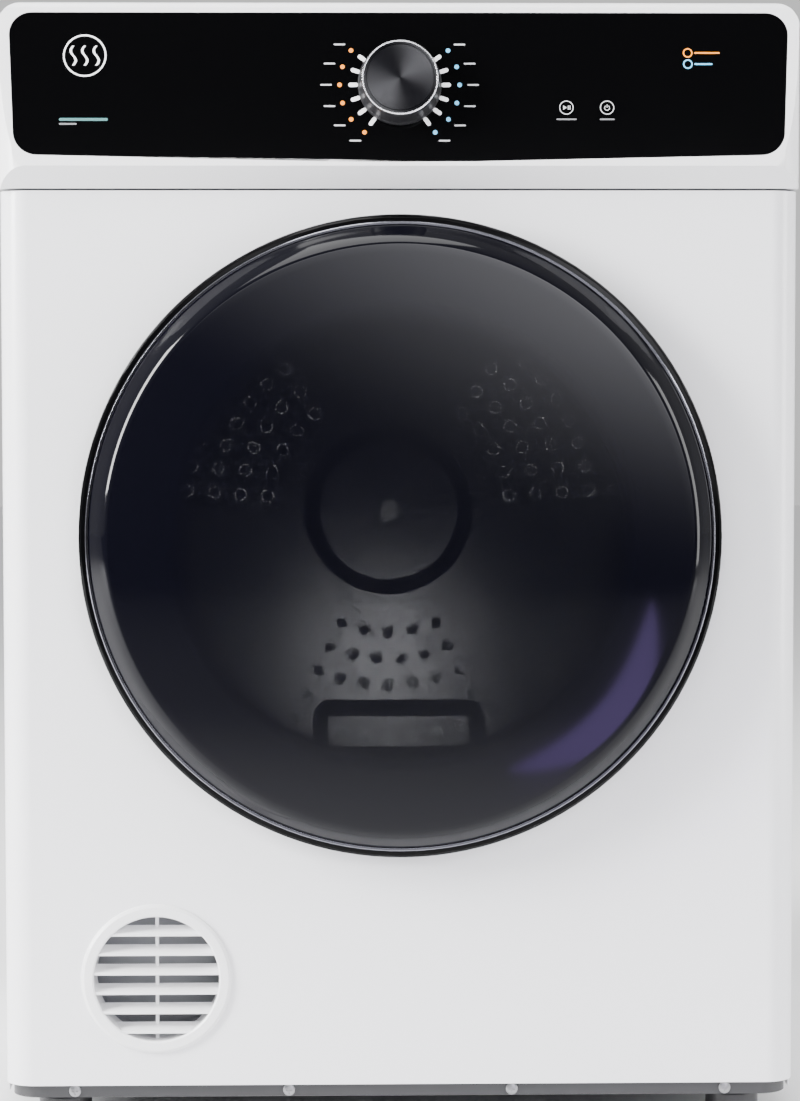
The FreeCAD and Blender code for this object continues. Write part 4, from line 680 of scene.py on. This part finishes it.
# the warm-air sign: three waves in a ring
WAVE_PITCH, WAVE_SWING, WAVE_HIGH, WAVE_HALF = 0.0085, 0.0019, 0.015, 0.00085
WAVE_STEPS = 32
SIGN_INNER, SIGN_OUTER = 0.0148, 0.0160

# plain bars for the two printed lines: across from the sign, height, length, width, finish
WORD_BARS = (("word_bar_type", -0.0006, -0.0263, 0.036, 0.0021, "print_teal"),
             ("word_bar_model", -0.0121, -0.0297, 0.013, 0.0013, "print_grey"))
# status lamps: finish, height and the length of the bar beside each
STATUS_LAMPS = (("warm", 0.0245, 0.019), ("cool", 0.0160, 0.0135))
STATUS_INNER, STATUS_OUTER, STATUS_GAP, STATUS_WIDE = 0.0026, 0.0036, 0.0048, 0.0013
# plain bars under the push buttons: across from the dial, and length
BUTTON_BARS = ((0.1232, 0.015), (0.1533, 0.011))
BUTTON_BAR_HEIGHT = -0.026

# the push buttons' rims and signs, from the button's middle or edge
RIM_INNER_GAP, RIM_OUTER_GAP = 0.0007, 0.0001
SIGN_SINK = 0.00004
PLAY_LEFT, PLAY_RIGHT, PLAY_HALF = -0.0024, 0.0003, 0.0017
PAUSE_PLACES, PAUSE_WIDE, PAUSE_HALF = (0.0011, 0.0023), 0.0006, 0.0016
POWER_INNER, POWER_OUTER, POWER_DROP = 0.0016, 0.0021, 0.0002
POWER_GAP_ENDS = (125, 415)
POWER_BAR_HALF, POWER_BAR_HIGH = 0.00025, 0.0024

# the knob's spun face: share of its radius, and depth below its top
FACE_DISH = ((0, 0.0012), (0.3, 0.0011), (0.6, 0.0008), (0.88, 0.0002), (0.9, 0.00025),
             (0.91, 0.0008), (0.925, 0.0008), (0.935, 0.0002), (0.985, 0), (1, 0.0004))
KNOB_RING_INNER, KNOB_RING_OUTER = 0.99, 1.03
KNOB_RING_DEEP, KNOB_RING_PROUD = 0.0012, 0.00025


def from_dial(node):
    """A node's points, measured from the middle of the dial."""
    return [Vector(p.co) - DIAL_CENTRE for p in NODES[node].data.vertices]


def raised(out):
    """A place function for thin marks whose backs stand out of the console's face."""
    return lambda x, v, thick: on_panel(x, v, thick + out)


def laid_on_panel(mesh, out=0.0):
    """Moves a mesh drawn flat on XY onto the console's sloping face."""
    place = Matrix((PANEL_SIDE, PANEL_UP, PANEL_OUT)).transposed().to_4x4()
    place.translation = on_panel(0, 0, out)
    mesh.transform(place)
    return mesh


def make_marks(look):
    """The ring of bars round the dial, the lamp outside each, and the small bars by them."""
    for edge, side, first, lamp_finish in (("left", -1, 144, "warm"), ("right", 1, 36, "cool")):
        for kind, radius, length, width, finish_name in (
                ("bar", look.tick_radius, look.tick_length, look.tick_width, "guide"),
                ("lamp", look.lamp_radius, look.lamp_size, look.lamp_size * LAMP_SQUASH,
                 lamp_finish),
                ("word", look.lamp_radius + WORD_GAP, WORD_LONG, WORD_WIDE, "print_white")):
            pattern = Pattern("dial_%s_ring" % kind, Count=DIAL_BARS, First=math.radians(first),
                              Step=math.radians(-side * BAR_STEP), Radius=radius, Length=length,
                              Width=width, Thick=look.mark_thick)
            index = pattern.node("GeometryNodeInputIndex")
            angle = pattern["First"] + index * pattern["Step"]
            across = pattern["Radius"] * pattern.maths("COSINE", angle)
            up = pattern["Radius"] * pattern.maths("SINE", angle)
            if kind == "word":
                across = across + side * WORD_SHIFT
            spot = pattern.node("ShaderNodeCombineXYZ", {}, {"X": across, "Y": up})
            points = pattern.node("GeometryNodePoints", {}, {"Count": pattern["Count"],
                                                             "Position": spot})
            bar = pattern.bar(pattern["Length"], pattern["Width"], pattern["Thick"])
            turn = pattern.node("ShaderNodeCombineXYZ", {}, {"Z": angle if kind == "bar" else 0.0})
            mesh = closed_up(pattern.mesh(pattern.repeat(bar, points, turn), finish_name))
            add_object("dial_%ss_%s" % (kind, edge), laid_on_panel(mesh, look.mark_rise), "root",
                       finish_name, smooth=False)


def ring_on_panel(name, x, v, inner, outer, thick, finish_name, out, body="root"):
    mesh = mesh_from(name, lambda bm: ring_band(bm, x, v, inner, outer, thick, raised(out),
                                                steps=64))
    add_object(name, mesh, body, finish_name, smooth=False)


def bar_on_panel(look, name, x, v, length, width, finish_name):
    mesh = mesh_from(name, lambda bm: flat_shape(bm, stadium(x, v, length, width),
                                                 look.mark_thick, raised(look.mark_rise)))
    add_object(name, mesh, "root", finish_name, smooth=False)


def make_panel_signs(look):
    """The warm-air sign, status lamps and the small bars that stand for printed words; the sign and the status
    bars glow, a painted glow.
    """
    thick, rise = look.mark_thick, look.mark_rise
    x, v = look.sign_x, look.sign_height

    def warm_air(bm):
        for k in (-1, 0, 1):
            path = []
            for i in range(WAVE_STEPS + 1):
                t = i / WAVE_STEPS
                path.append((x + k * WAVE_PITCH + WAVE_SWING * math.sin(TAU * t),
                             v + WAVE_HIGH * (t - 0.5)))
            outline = ([(a - WAVE_HALF, b) for a, b in path]
                       + [(a + WAVE_HALF, b) for a, b in path[::-1]])
            flat_shape(bm, outline, thick, raised(rise))
        ring_band(bm, x, v, SIGN_INNER, SIGN_OUTER, thick, raised(rise), steps=72)

    # painted glow: the sign stands for a printed mark yet takes the ticks' glowing finish
    add_object("warm_air_sign", mesh_from("warm_air_sign", warm_air), "root", "guide",
               smooth=False)
    for name, across, height, length, width, finish_name in WORD_BARS:
        bar_on_panel(look, name, x + across, height, length, width, finish_name)
    for name, height, length in STATUS_LAMPS:
        ring_on_panel("status_ring_" + name, look.status_x, height, STATUS_INNER, STATUS_OUTER,
                      thick, name, rise)
        # painted glow: these bars stand for printed words yet take the lamps' glowing finish
        bar_on_panel(look, "status_bar_" + name, look.status_x + STATUS_GAP + length / 2, height,
                     length, STATUS_WIDE, name)
    for k, (across, length) in enumerate(BUTTON_BARS):
        bar_on_panel(look, "button_bar_%d" % k, across, BUTTON_BAR_HEIGHT, length, WORD_WIDE,
                     "print_grey")


def start_pause_sign(bm, x, v, thick, place):
    flat_shape(bm, [(x + PLAY_LEFT, v - PLAY_HALF), (x + PLAY_RIGHT, v),
                    (x + PLAY_LEFT, v + PLAY_HALF)], thick, place)
    for across in PAUSE_PLACES:
        flat_shape(bm, rectangle(x + across, x + across + PAUSE_WIDE, v - PAUSE_HALF,
                                 v + PAUSE_HALF), thick, place)


def power_sign(bm, x, v, thick, place):
    start, stop = (math.radians(a) for a in POWER_GAP_ENDS)
    ring_band(bm, x, v - POWER_DROP, POWER_INNER, POWER_OUTER, thick, place, start, stop)
    flat_shape(bm, rectangle(x - POWER_BAR_HALF, x + POWER_BAR_HALF, v, v + POWER_BAR_HIGH),
               thick, place)


def make_buttons(look):
    """The two push buttons' bright rims and their plain signs, which travel with them."""
    thick = look.mark_thick
    for node, body, sign in (("start_pause_button", "start_button", start_pause_sign),
                             ("power_button", "power_switch_button", power_sign)):
        low, high = (Vector(c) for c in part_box(node))
        x, radius = middle(node).x, (high.x - low.x) / 2
        points = from_dial(node)
        v = sum(p.dot(PANEL_UP) for p in points) / len(points)
        out = max(p.dot(PANEL_OUT) for p in points) - SIGN_SINK
        ring_on_panel(node + "_rim", x, v, radius - RIM_INNER_GAP, radius - RIM_OUTER_GAP, thick,
                      "print_white", out, body)
        mesh = mesh_from(node + "_sign", lambda bm: sign(bm, x, v, thick, raised(out)))
        add_object(node + "_sign", mesh, body, "print_white", smooth=False)


def make_dial():
    """The turned knob: a black skirt with a grip, and the spun face inside a bright ring."""
    softened("selector_knob", "knob", "black", 0.0004, angle=35)
    points = from_dial("knob_face")
    top = max(p.dot(PANEL_OUT) for p in points)
    low = min(p.dot(PANEL_OUT) for p in points)
    radius = max((p - PANEL_OUT * p.dot(PANEL_OUT)).length for p in points)
    dish = [(radius * share, top - depth) for share, depth in FACE_DISH]
    dish += [(radius, low), (0, low)]
    skin = mesh_from("knob_face_skin", lambda bm: lathe(bm, dish, DIAL_CENTRE, PANEL_OUT,
                                                        closed=False))
    piece = add_object("knob_face_skin", skin, "knob", "spun")
    smooth_by_angle(skin, 30)
    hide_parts("knob_face")
    inner, outer = radius * KNOB_RING_INNER, radius * KNOB_RING_OUTER
    floor, crest = top - KNOB_RING_DEEP, top + KNOB_RING_PROUD
    ring = rounded([(inner, floor), (outer, floor), (outer, crest), (inner, crest)], 0.0002)
    band = mesh_from("knob_bright_ring", lambda bm: lathe(bm, ring, DIAL_CENTRE, PANEL_OUT))
    add_object("knob_bright_ring", band, "knob", "chrome")


# ---------------------------------------------------------------- cabinet
# the pieces whose edges are rounded, their slot and the width of the rounding
ROUNDED_PIECES = (("front_panel", "white_enamel", 0.0003),
                  ("side_panel_left", "white_enamel", 0.0003),
                  ("side_panel_right", "white_enamel", 0.0003),
                  ("worktop", "white_enamel", 0.0008),
                  ("console_fascia", "white_plastic", 0.0008),
                  ("console_panel", "black_gloss_plastic", 0.0004),
                  ("vent_grille", "white_plastic", 0.0004))

HEAD_RADIUS, HEAD_FOOT, HEAD_RIM, HEAD_DOME = 0.0045, 0.0043, 0.0010, 0.0012
HEAD_CHAMFER = 0.0002
CROSS_LONG, CROSS_WIDE, CROSS_FLOOR, CROSS_TOP = 0.0026, 0.00045, 0.0009, 0.004
ALIKE = 1e-4             # sizes nearer than this are the same


def make_cabinet():
    """The outer panels, the console and the grille, with their edges rounded."""
    for node, slot, width in ROUNDED_PIECES:
        softened(node, "root", CAD_FINISH[slot], width)


def screw_spots():
    """The middle, the outward direction and the size of every cabinet screw."""
    bm = bmesh.new()
    bm.from_mesh(NODES["cabinet_screws"].data)
    bmesh.ops.remove_doubles(bm, verts=bm.verts, dist=1e-5)
    left = set(bm.verts)
    spots = []
    for seed in bm.verts:
        if seed not in left:
            continue
        left.discard(seed)
        points, edge = [], [seed]
        while edge:
            vert = edge.pop()
            points.append(vert.co.copy())
            near = {e.other_vert(vert) for e in vert.link_edges} & left
            left -= near
            edge.extend(near)
        low = Vector([min(p[i] for p in points) for i in range(3)])
        high = Vector([max(p[i] for p in points) for i in range(3)])
        size = high - low
        unlike, axis = min((abs(size[a] - size[b]), c) for a, b, c in
                           ((0, 1, 2), (0, 2, 1), (1, 2, 0)))
        if unlike >= ALIKE:
            axis = min(range(3), key=lambda i: size[i])
        centre = (low + high) / 2
        wide_low, wide_high = (max((p - centre).length for p in points
                                   if abs(p[axis] - end[axis]) < ALIKE) for end in (low, high))
        out = Vector((0, 0, 0))
        out[axis] = 1 if wide_high > wide_low else -1
        spots.append((centre, out, size))
    bm.free()
    return spots


def screw_head():
    """One domed head with a cross recess, standing on XY, as a template to be repeated."""
    outline = [(HEAD_RADIUS * math.sin(a), HEAD_RIM + HEAD_DOME * math.cos(a))
               for a in (math.pi / 2 * k / 10 for k in range(11))]
    outline += [(HEAD_RADIUS, HEAD_CHAMFER), (HEAD_FOOT, 0.0), (0.0, 0.0)]
    head = mesh_from("screw_head", lambda bm: lathe(bm, outline, (0, 0, 0), (0, 0, 1), 48,
                                                    closed=False))
    for x, y in ((CROSS_LONG, CROSS_WIDE), (CROSS_WIDE, CROSS_LONG)):
        head = boolean_cut(head, lambda bm: block(bm, (-x, -y, CROSS_FLOOR), (x, y, CROSS_TOP)))
    smooth_by_angle(head, 40)
    head.materials.clear()
    head.materials.append(finish("zinc"))
    return placed("screw_head", head)


def make_screws():
    """Every cabinet screw's head, repeated over the screws' places."""
    template = screw_head()
    groups = {}
    for centre, out, size in screw_spots():
        reach = max(abs(size[i] * out[i]) for i in range(3)) / 2
        groups.setdefault(tuple(out), []).append(centre + out * (reach - HEAD_RIM - HEAD_DOME))
    for k, (out, spots) in enumerate(sorted(groups.items())):
        turn = Vector(out).to_track_quat("Z", "Y").to_euler()
        name = "screw_heads_%d" % k
        pattern = Pattern(name, spots, Turn=Vector(turn))
        copy = pattern.node("GeometryNodeObjectInfo", {}, {"Object": template}, out="Geometry")
        heads = pattern.repeat(copy, pattern["Geometry"], pattern["Turn"])
        piece = add_object(name, pattern.mesh(heads, "zinc"), "root", "zinc",
                           smooth=None)
        if k == 0:
            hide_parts("cabinet_screws")
    bpy.data.objects.remove(template)


# ---------------------------------------------------------------- drum
FAN_ANGLES = (-90, 30, 150)
FIRST_COUNT = 5          # holes in a fan's innermost row; each row has one more
HUB_RADIUS = 0.1         # the drum back's raised middle ends inside this


def make_drum_details(look):
    """The pressed rims round the holes in the drum's back, in three fans, coloured pale grey as a painted
    highlight on the dark drum steel.
    """
    spots = []
    front = min(v.co.y for v in NODES["drum_back"].data.vertices
                if (v.co.x ** 2 + (v.co.z - DOOR_Z) ** 2) > HUB_RADIUS ** 2)
    for fan in FAN_ANGLES:
        for row in range(look.rows):
            radius = look.first_row + row * look.row_pitch
            count = FIRST_COUNT + row
            for i in range(count):
                a = math.radians(fan) + (i - (count - 1) / 2) * look.hole_pitch / radius
                spots.append((radius * math.cos(a), front, DOOR_Z + radius * math.sin(a)))
    pattern = Pattern("drum_hole_rims", spots, Ring=look.rim_radius, Wire=look.rim_wire,
                      Turn=Vector((math.pi / 2, 0, 0)))
    tube = pattern.node("GeometryNodeCurveToMesh", {}, {
        "Curve": pattern.circle(pattern["Ring"], 24),
        "Profile Curve": pattern.circle(pattern["Wire"], 8)})
    rims = pattern.repeat(tube, pattern["Geometry"], pattern["Turn"])
    add_object("drum_hole_rims", closed_up(pattern.mesh(rims, "rim")), "drum", "rim")


def apply_cad_finishes():
    """Every CAD node gets the finish of its material slot."""
    slots = {part["node"]: part["material_slot"] for part in frame["record"]["subparts"]}
    for name, node in NODES.items():
        node.data.materials.clear()
        node.data.materials.append(finish(CAD_FINISH[slots[name]]))


# ---------------------------------------------------------------- stage
CAMERA_PLACE = (-0.0497, -2.5362, 0.5594)
CAMERA_DOWN, CAMERA_TURN = 3.032, -1.167           # degrees
SENSOR_HEIGHT = 36
FLOOR_HALF = 12
FLOOR_DARK, FLOOR_PALE = -1.9, -0.6                # the floor darkens between these, in front: painted shade, so the black gloss reflects dark there
SKY_FRONT, SKY_ROUND, SKY_FRONT_SHARE = -1.0, -0.3, 0.3

# a light's name, its place, what it points at, its width and height, and its setting
LIGHTS = (("key", (-2.9, -1.5, 1.7), (0, -0.25, 0.5), 1.0, 1.9, "key"),
          ("fill", (2.3, -0.9, 0.9), (0.3, -0.2, 0.45), 0.8, 1.6, "fill"),
          ("top", (-0.3, -0.9, 2.9), (0, -0.1, 0.6), 1.8, None, "top"),
          ("back_left", (-2.4, 1.6, 1.8), (0, 0, 0.5), 1.2, None, "back"),
          ("back_right", (2.4, 1.6, 1.8), (0, 0, 0.5), 1.2, None, "back"))
DRUM_LIGHT_SIZE, DRUM_LIGHT_Y, DRUM_LIGHT_AIM_Y = 0.10, -0.12, 0.23
DRUM_LIGHT_DROP, DRUM_LIGHT_AIM_DROP = 0.16, 0.15

# the softbox: its corners, and where its glow starts and ends along it
SOFTBOX_Y, SOFTBOX_LEFT, SOFTBOX_RIGHT, SOFTBOX_LOW, SOFTBOX_HIGH = -4.2, -1.6, 3.4, -0.3, 2.4
GLOW_ACROSS, GLOW_UP, GLOW_START, GLOW_FULL = 0.5, 0.86, 0.45, 2.5
LOW_EDGE, LOW_FULL = -0.1, 1.3
RIGHT_FULL, RIGHT_EDGE = 1.4, 3.2
BLUE_SHARE = 1.04

# the lilac card: a crescent between two bows from one tip to the other
TIP_LOW, TIP_HIGH = Vector((0.194, -1.2, 0.025)), Vector((0.427, -1.2, 0.305))
BOW_SIDE = Vector((0.77, 0, -0.64))
BOW_INNER, BOW_OUTER, BOW_FULLNESS, BOW_STEPS = 0.045, 0.115, 0.8, 24


def area_light(name, place, target, width, height, power):
    light = bpy.data.lights.new(name, "AREA")
    light.energy = power
    light.size = width
    if height:
        light.shape = "RECTANGLE"
        light.size_y = height
    lamp = placed(name, light)
    lamp.location = place
    lamp.rotation_euler = (Vector(target) - Vector(place)).to_track_quat("-Z", "Y").to_euler()


def make_stage(look):
    """The camera, the floor, the lights and the two cards that the black gloss reflects."""
    camera = bpy.data.cameras.new("camera")
    camera.sensor_fit = "VERTICAL"
    camera.sensor_height = SENSOR_HEIGHT
    camera.lens = look.lens
    camera.shift_x = look.shift
    eye = placed("camera", camera)
    eye.location = CAMERA_PLACE
    eye.rotation_euler = [math.radians(a) for a in (90 - CAMERA_DOWN, look.roll, CAMERA_TURN)]
    bpy.context.scene.camera = eye

    half = FLOOR_HALF
    corners = ((-half, -half, 0), (half, -half, 0), (half, half, 0), (-half, half, 0))
    mesh = mesh_from("floor", lambda bm: bm.faces.new([bm.verts.new(p) for p in corners]))
    mesh.shade_smooth()
    pale = Finish("floor_pale", Base_Color=look.floor, Roughness=0.75)
    # painted shade: the floor darkens towards the front, so the black gloss reflects dark there
    painted_shade_fade = pale.ramp(pale.axis(1), FLOOR_DARK, FLOOR_PALE)
    pale.set(Roughness=0.7 + pale.noise(4, 2) * 0.1,
             Base_Color=pale.blend(painted_shade_fade, look.floor_painted_shade, look.floor))
    mesh.materials.append(pale.material)
    placed("floor", mesh)

    make_sky(look)
    for name, place, target, width, height, setting in LIGHTS:
        area_light(name, place, target, width, height, getattr(look, setting))
    make_softbox(look)
    make_lilac_card(look)
    area_light("drum", (0.0, DRUM_LIGHT_Y, DOOR_Z - DRUM_LIGHT_DROP),
               (0, DRUM_LIGHT_AIM_Y, DOOR_Z - DRUM_LIGHT_AIM_DROP), DRUM_LIGHT_SIZE, None,
               look.drum)


def make_sky(look):
    """Even light from all round, weaker from the front so that glossy black stays black."""
    world = bpy.data.worlds.new("studio")
    world.use_nodes = True
    sky = NodeTree(world.node_tree)
    background = sky.tree.nodes["Background"]
    place = sky.node("ShaderNodeTexCoord", out="Generated")
    depth = sky.node("ShaderNodeSeparateXYZ", {}, {0: place}, out=1)
    sky.feed(background.inputs["Strength"], sky.ramp(
        depth, SKY_FRONT, SKY_ROUND, look.sky * SKY_FRONT_SHARE, look.sky))
    background.inputs["Color"].default_value = (1, 1, 1, 1)
    bpy.context.scene.world = world


def hidden_card(name, mesh, glow):
    """A glowing card that reflections show and the camera doesn't."""
    mesh.materials.append(glow.material)
    card = placed(name, mesh)
    card.visible_camera = False
    return card


def make_softbox(look):
    """A large softbox in front and to the right, brighter towards its upper right corner."""
    corners = [(x, SOFTBOX_Y, z) for x, z in rectangle(SOFTBOX_LEFT, SOFTBOX_RIGHT, SOFTBOX_LOW,
                                                       SOFTBOX_HIGH)]
    mesh = mesh_from("softbox", lambda bm: bm.faces.new([bm.verts.new(p) for p in corners]))
    glow = Finish("softbox", Base_Color=rgb(0, 0, 0), Emission_Strength=1.0)
    across, up = glow.axis(0), glow.axis(2)
    light = (glow.ramp(across * GLOW_ACROSS + up * GLOW_UP, GLOW_START, GLOW_FULL, 0.0, look.card)
             * glow.ramp(up, LOW_EDGE, LOW_FULL) * (1 - glow.ramp(across, RIGHT_FULL, RIGHT_EDGE)))
    glow.set(Emission_Color=glow.node("ShaderNodeCombineColor", {}, {
        0: light, 1: light, 2: light * BLUE_SHARE}))
    hidden_card("softbox", mesh, glow)


def make_lilac_card(look):
    """A small low crescent that gives the window its lilac reflection."""
    def bow(width, power, steps):
        return [TIP_LOW.lerp(TIP_HIGH, k / BOW_STEPS)
                + BOW_SIDE * width * math.sin(math.pi * k / BOW_STEPS) ** power for k in steps]

    inner = bow(BOW_INNER, 1, range(BOW_STEPS + 1))
    outer = bow(BOW_OUTER, BOW_FULLNESS, range(1, BOW_STEPS))
    mesh = mesh_from("lilac_card", lambda bm: bm.faces.new(
        [bm.verts.new(p) for p in inner + outer[::-1]]))
    glow = Finish("lilac_card", Base_Color=rgb(0, 0, 0), Emission_Color=look.lilac,
                  Emission_Strength=look.lilac_glow)
    hidden_card("lilac_card", mesh, glow).visible_shadow = False


# ---------------------------------------------------------------- settings a user would change
def colour(name, text, value):
    return bpy.props.FloatVectorProperty(name=name, description=text, default=value, size=4,
                                         subtype="COLOR", min=0, max=1)


def length(name, text, value):
    return bpy.props.FloatProperty(name=name, description=text, default=value, unit="LENGTH",
                                   precision=5)


def number(name, text, value):
    return bpy.props.FloatProperty(name=name, description=text, default=value)


class DryerFinishes(bpy.types.PropertyGroup):
    enamel: colour("Enamel", "Cabinet enamel", rgb(0.84, 0.84, 0.86))
    moulding: colour("Moulding", "White mouldings of the console and grille", rgb(0.84, 0.84, 0.85))
    gloss: colour("Gloss black", "Console panel and door ring", rgb(0.001, 0.001, 0.0012))
    window: colour("Window", "Tint of the door window", rgb(0.002, 0.002, 0.004))
    window_cover: number("Window cover", "How much the tint hides, from 0 to 1", 0.74)
    tick: colour("Ticks", "Bars round the dial", rgb(0.9, 0.9, 0.92))
    warm: colour("Warm lamps", "Lamps left of the dial", rgb(0.95, 0.27, 0.0))
    cool: colour("Cool lamps", "Lamps right of the dial", rgb(0.12, 0.52, 0.85))


class DryerDoor(bpy.types.PropertyGroup):
    window_thick: length("Window thickness", "Wall of the convex window", 0.004)
    window_shoulder: length("Window shoulder", "Width of the tighter bend at its edge", 0.015)


class DryerConsole(bpy.types.PropertyGroup):
    tick_radius: length("Tick radius", "Middle of the dial's bars", 0.0343)
    tick_length: length("Tick length", "Length of a bar", 0.0072)
    tick_width: length("Tick width", "Width of a bar", 0.0031)
    lamp_radius: length("Lamp radius", "Ring of the dial's lamps", 0.0444)
    lamp_size: length("Lamp size", "Across a lamp", 0.0034)
    mark_thick: length("Mark thickness", "Height of the printed marks", 0.00008)
    mark_rise: length("Mark rise", "Where the printed marks start above the panel", 0.00003)
    sign_x: length("Sign place", "Across, from the dial", -0.2325)
    sign_height: length("Sign height", "Up the panel, from the dial", 0.022)
    status_x: length("Status place", "Across, from the dial", 0.2137)


class DryerDrum(bpy.types.PropertyGroup):
    rows: bpy.props.IntProperty(name="Rows", description="Rows of holes in a fan", default=6, min=1)
    first_row: length("First row", "Radius of the innermost row", 0.110)
    row_pitch: length("Row pitch", "Radius added by each row", 0.024)
    hole_pitch: length("Hole pitch", "Distance between holes in a row", 0.022)
    rim_radius: length("Rim radius", "Middle of the pressed rim", 0.0052)
    rim_wire: length("Rim thickness", "Half the thickness of the rim", 0.0011)


class DryerStage(bpy.types.PropertyGroup):
    lens: number("Lens", "Focal length in millimetres", 100.4)
    shift: number("Shift", "Sideways shift of the view", 0.0039)
    roll: number("Roll", "Turn of the view in degrees", 0.065)
    floor: colour("Floor", "Colour of the floor", rgb(0.86, 0.86, 0.87))
    # painted shade: the floor's colour well in front, darker so the black gloss reflects dark
    floor_painted_shade: colour("Far floor", "Colour of the floor well in front", rgb(0.16, 0.16, 0.165))
    sky: number("Sky", "Strength of the even light", 0.72)
    key: number("Key", "Power of the main light in watts", 400.0)
    fill: number("Fill", "Power of the second light in watts", 45.0)
    top: number("Top", "Power of the light above in watts", 70.0)
    card: number("Softbox", "Brightness of the softbox's bright corner", 11.0)
    lilac: colour("Lilac card", "Colour of the small low card", rgb(0.34, 0.24, 0.62))
    lilac_glow: number("Lilac glow", "Brightness of the small low card", 11.0)
    drum: number("Drum", "Power of the light inside the drum in watts", 2.2)
    back: number("Back", "Power of each light behind in watts", 40.0)


# ---------------------------------------------------------------- operators
class DRYER_OT_finishes(bpy.types.Operator):
    """Make every finish and give each CAD piece its own"""
    bl_idname = "dryer.finishes"
    bl_label = "Finishes"

    def execute(self, context):
        make_finishes()
        apply_cad_finishes()
        return {"FINISHED"}


class DRYER_OT_cabinet(bpy.types.Operator):
    """Round the edges of the cabinet's panels, its console and its grille"""
    bl_idname = "dryer.cabinet"
    bl_label = "Cabinet"

    def execute(self, context):
        make_cabinet()
        return {"FINISHED"}


class DRYER_OT_door(bpy.types.Operator):
    """Make the door's window and rings"""
    bl_idname = "dryer.door"
    bl_label = "Door"

    def execute(self, context):
        make_door(context.scene.dryer_door)
        return {"FINISHED"}


class DRYER_OT_dial(bpy.types.Operator):
    """Make the dial's knob, its bars and its lamps"""
    bl_idname = "dryer.dial"
    bl_label = "Dial"

    def execute(self, context):
        make_dial()
        make_marks(context.scene.dryer_console)
        return {"FINISHED"}


class DRYER_OT_signs(bpy.types.Operator):
    """Make the console's printed signs and bars"""
    bl_idname = "dryer.signs"
    bl_label = "Signs"

    def execute(self, context):
        make_panel_signs(context.scene.dryer_console)
        return {"FINISHED"}


class DRYER_OT_buttons(bpy.types.Operator):
    """Make the push buttons' rims and signs"""
    bl_idname = "dryer.buttons"
    bl_label = "Buttons"

    def execute(self, context):
        make_buttons(context.scene.dryer_console)
        return {"FINISHED"}


class DRYER_OT_drum(bpy.types.Operator):
    """Make the pressed rims of the drum's holes"""
    bl_idname = "dryer.drum"
    bl_label = "Drum"

    def execute(self, context):
        make_drum_details(context.scene.dryer_drum)
        return {"FINISHED"}


class DRYER_OT_screws(bpy.types.Operator):
    """Make the cabinet screws' heads"""
    bl_idname = "dryer.screws"
    bl_label = "Screws"

    def execute(self, context):
        make_screws()
        return {"FINISHED"}


class DRYER_OT_stage(bpy.types.Operator):
    """Make the floor, the lights and the camera"""
    bl_idname = "dryer.stage"
    bl_label = "Stage"

    def execute(self, context):
        make_stage(context.scene.dryer_stage)
        return {"FINISHED"}


OPERATORS = (DRYER_OT_finishes, DRYER_OT_cabinet, DRYER_OT_door, DRYER_OT_dial, DRYER_OT_signs,
             DRYER_OT_buttons, DRYER_OT_drum, DRYER_OT_screws, DRYER_OT_stage)
GROUPS = {"dryer_finishes": DryerFinishes, "dryer_door": DryerDoor,
          "dryer_console": DryerConsole, "dryer_drum": DryerDrum, "dryer_stage": DryerStage}


class DRYER_PT_panel(bpy.types.Panel):
    bl_label = "Clothes Dryer"
    bl_space_type = "VIEW_3D"
    bl_region_type = "UI"
    bl_category = "Dryer"

    def draw(self, context):
        for group in GROUPS:
            settings = getattr(context.scene, group)
            box = self.layout.box()
            for key in type(settings).__annotations__:
                box.prop(settings, key)
        for operator in OPERATORS:
            self.layout.operator(operator.bl_idname)


CLASSES = (*GROUPS.values(), *OPERATORS, DRYER_PT_panel)


def register():
    for item in CLASSES:
        bpy.utils.register_class(item)
    for name, group in GROUPS.items():
        setattr(bpy.types.Scene, name, bpy.props.PointerProperty(type=group))


def unregister():
    for name in GROUPS:
        delattr(bpy.types.Scene, name)
    for item in reversed(CLASSES):
        bpy.utils.unregister_class(item)


def main():
    """Makes every piece in order."""
    register()
    bpy.ops.dryer.stage()
    bpy.ops.dryer.finishes()
    bpy.ops.dryer.cabinet()
    bpy.ops.dryer.door()
    bpy.ops.dryer.dial()
    bpy.ops.dryer.signs()
    bpy.ops.dryer.buttons()
    bpy.ops.dryer.drum()
    bpy.ops.dryer.screws()


if __name__ == "__main__":
    main()
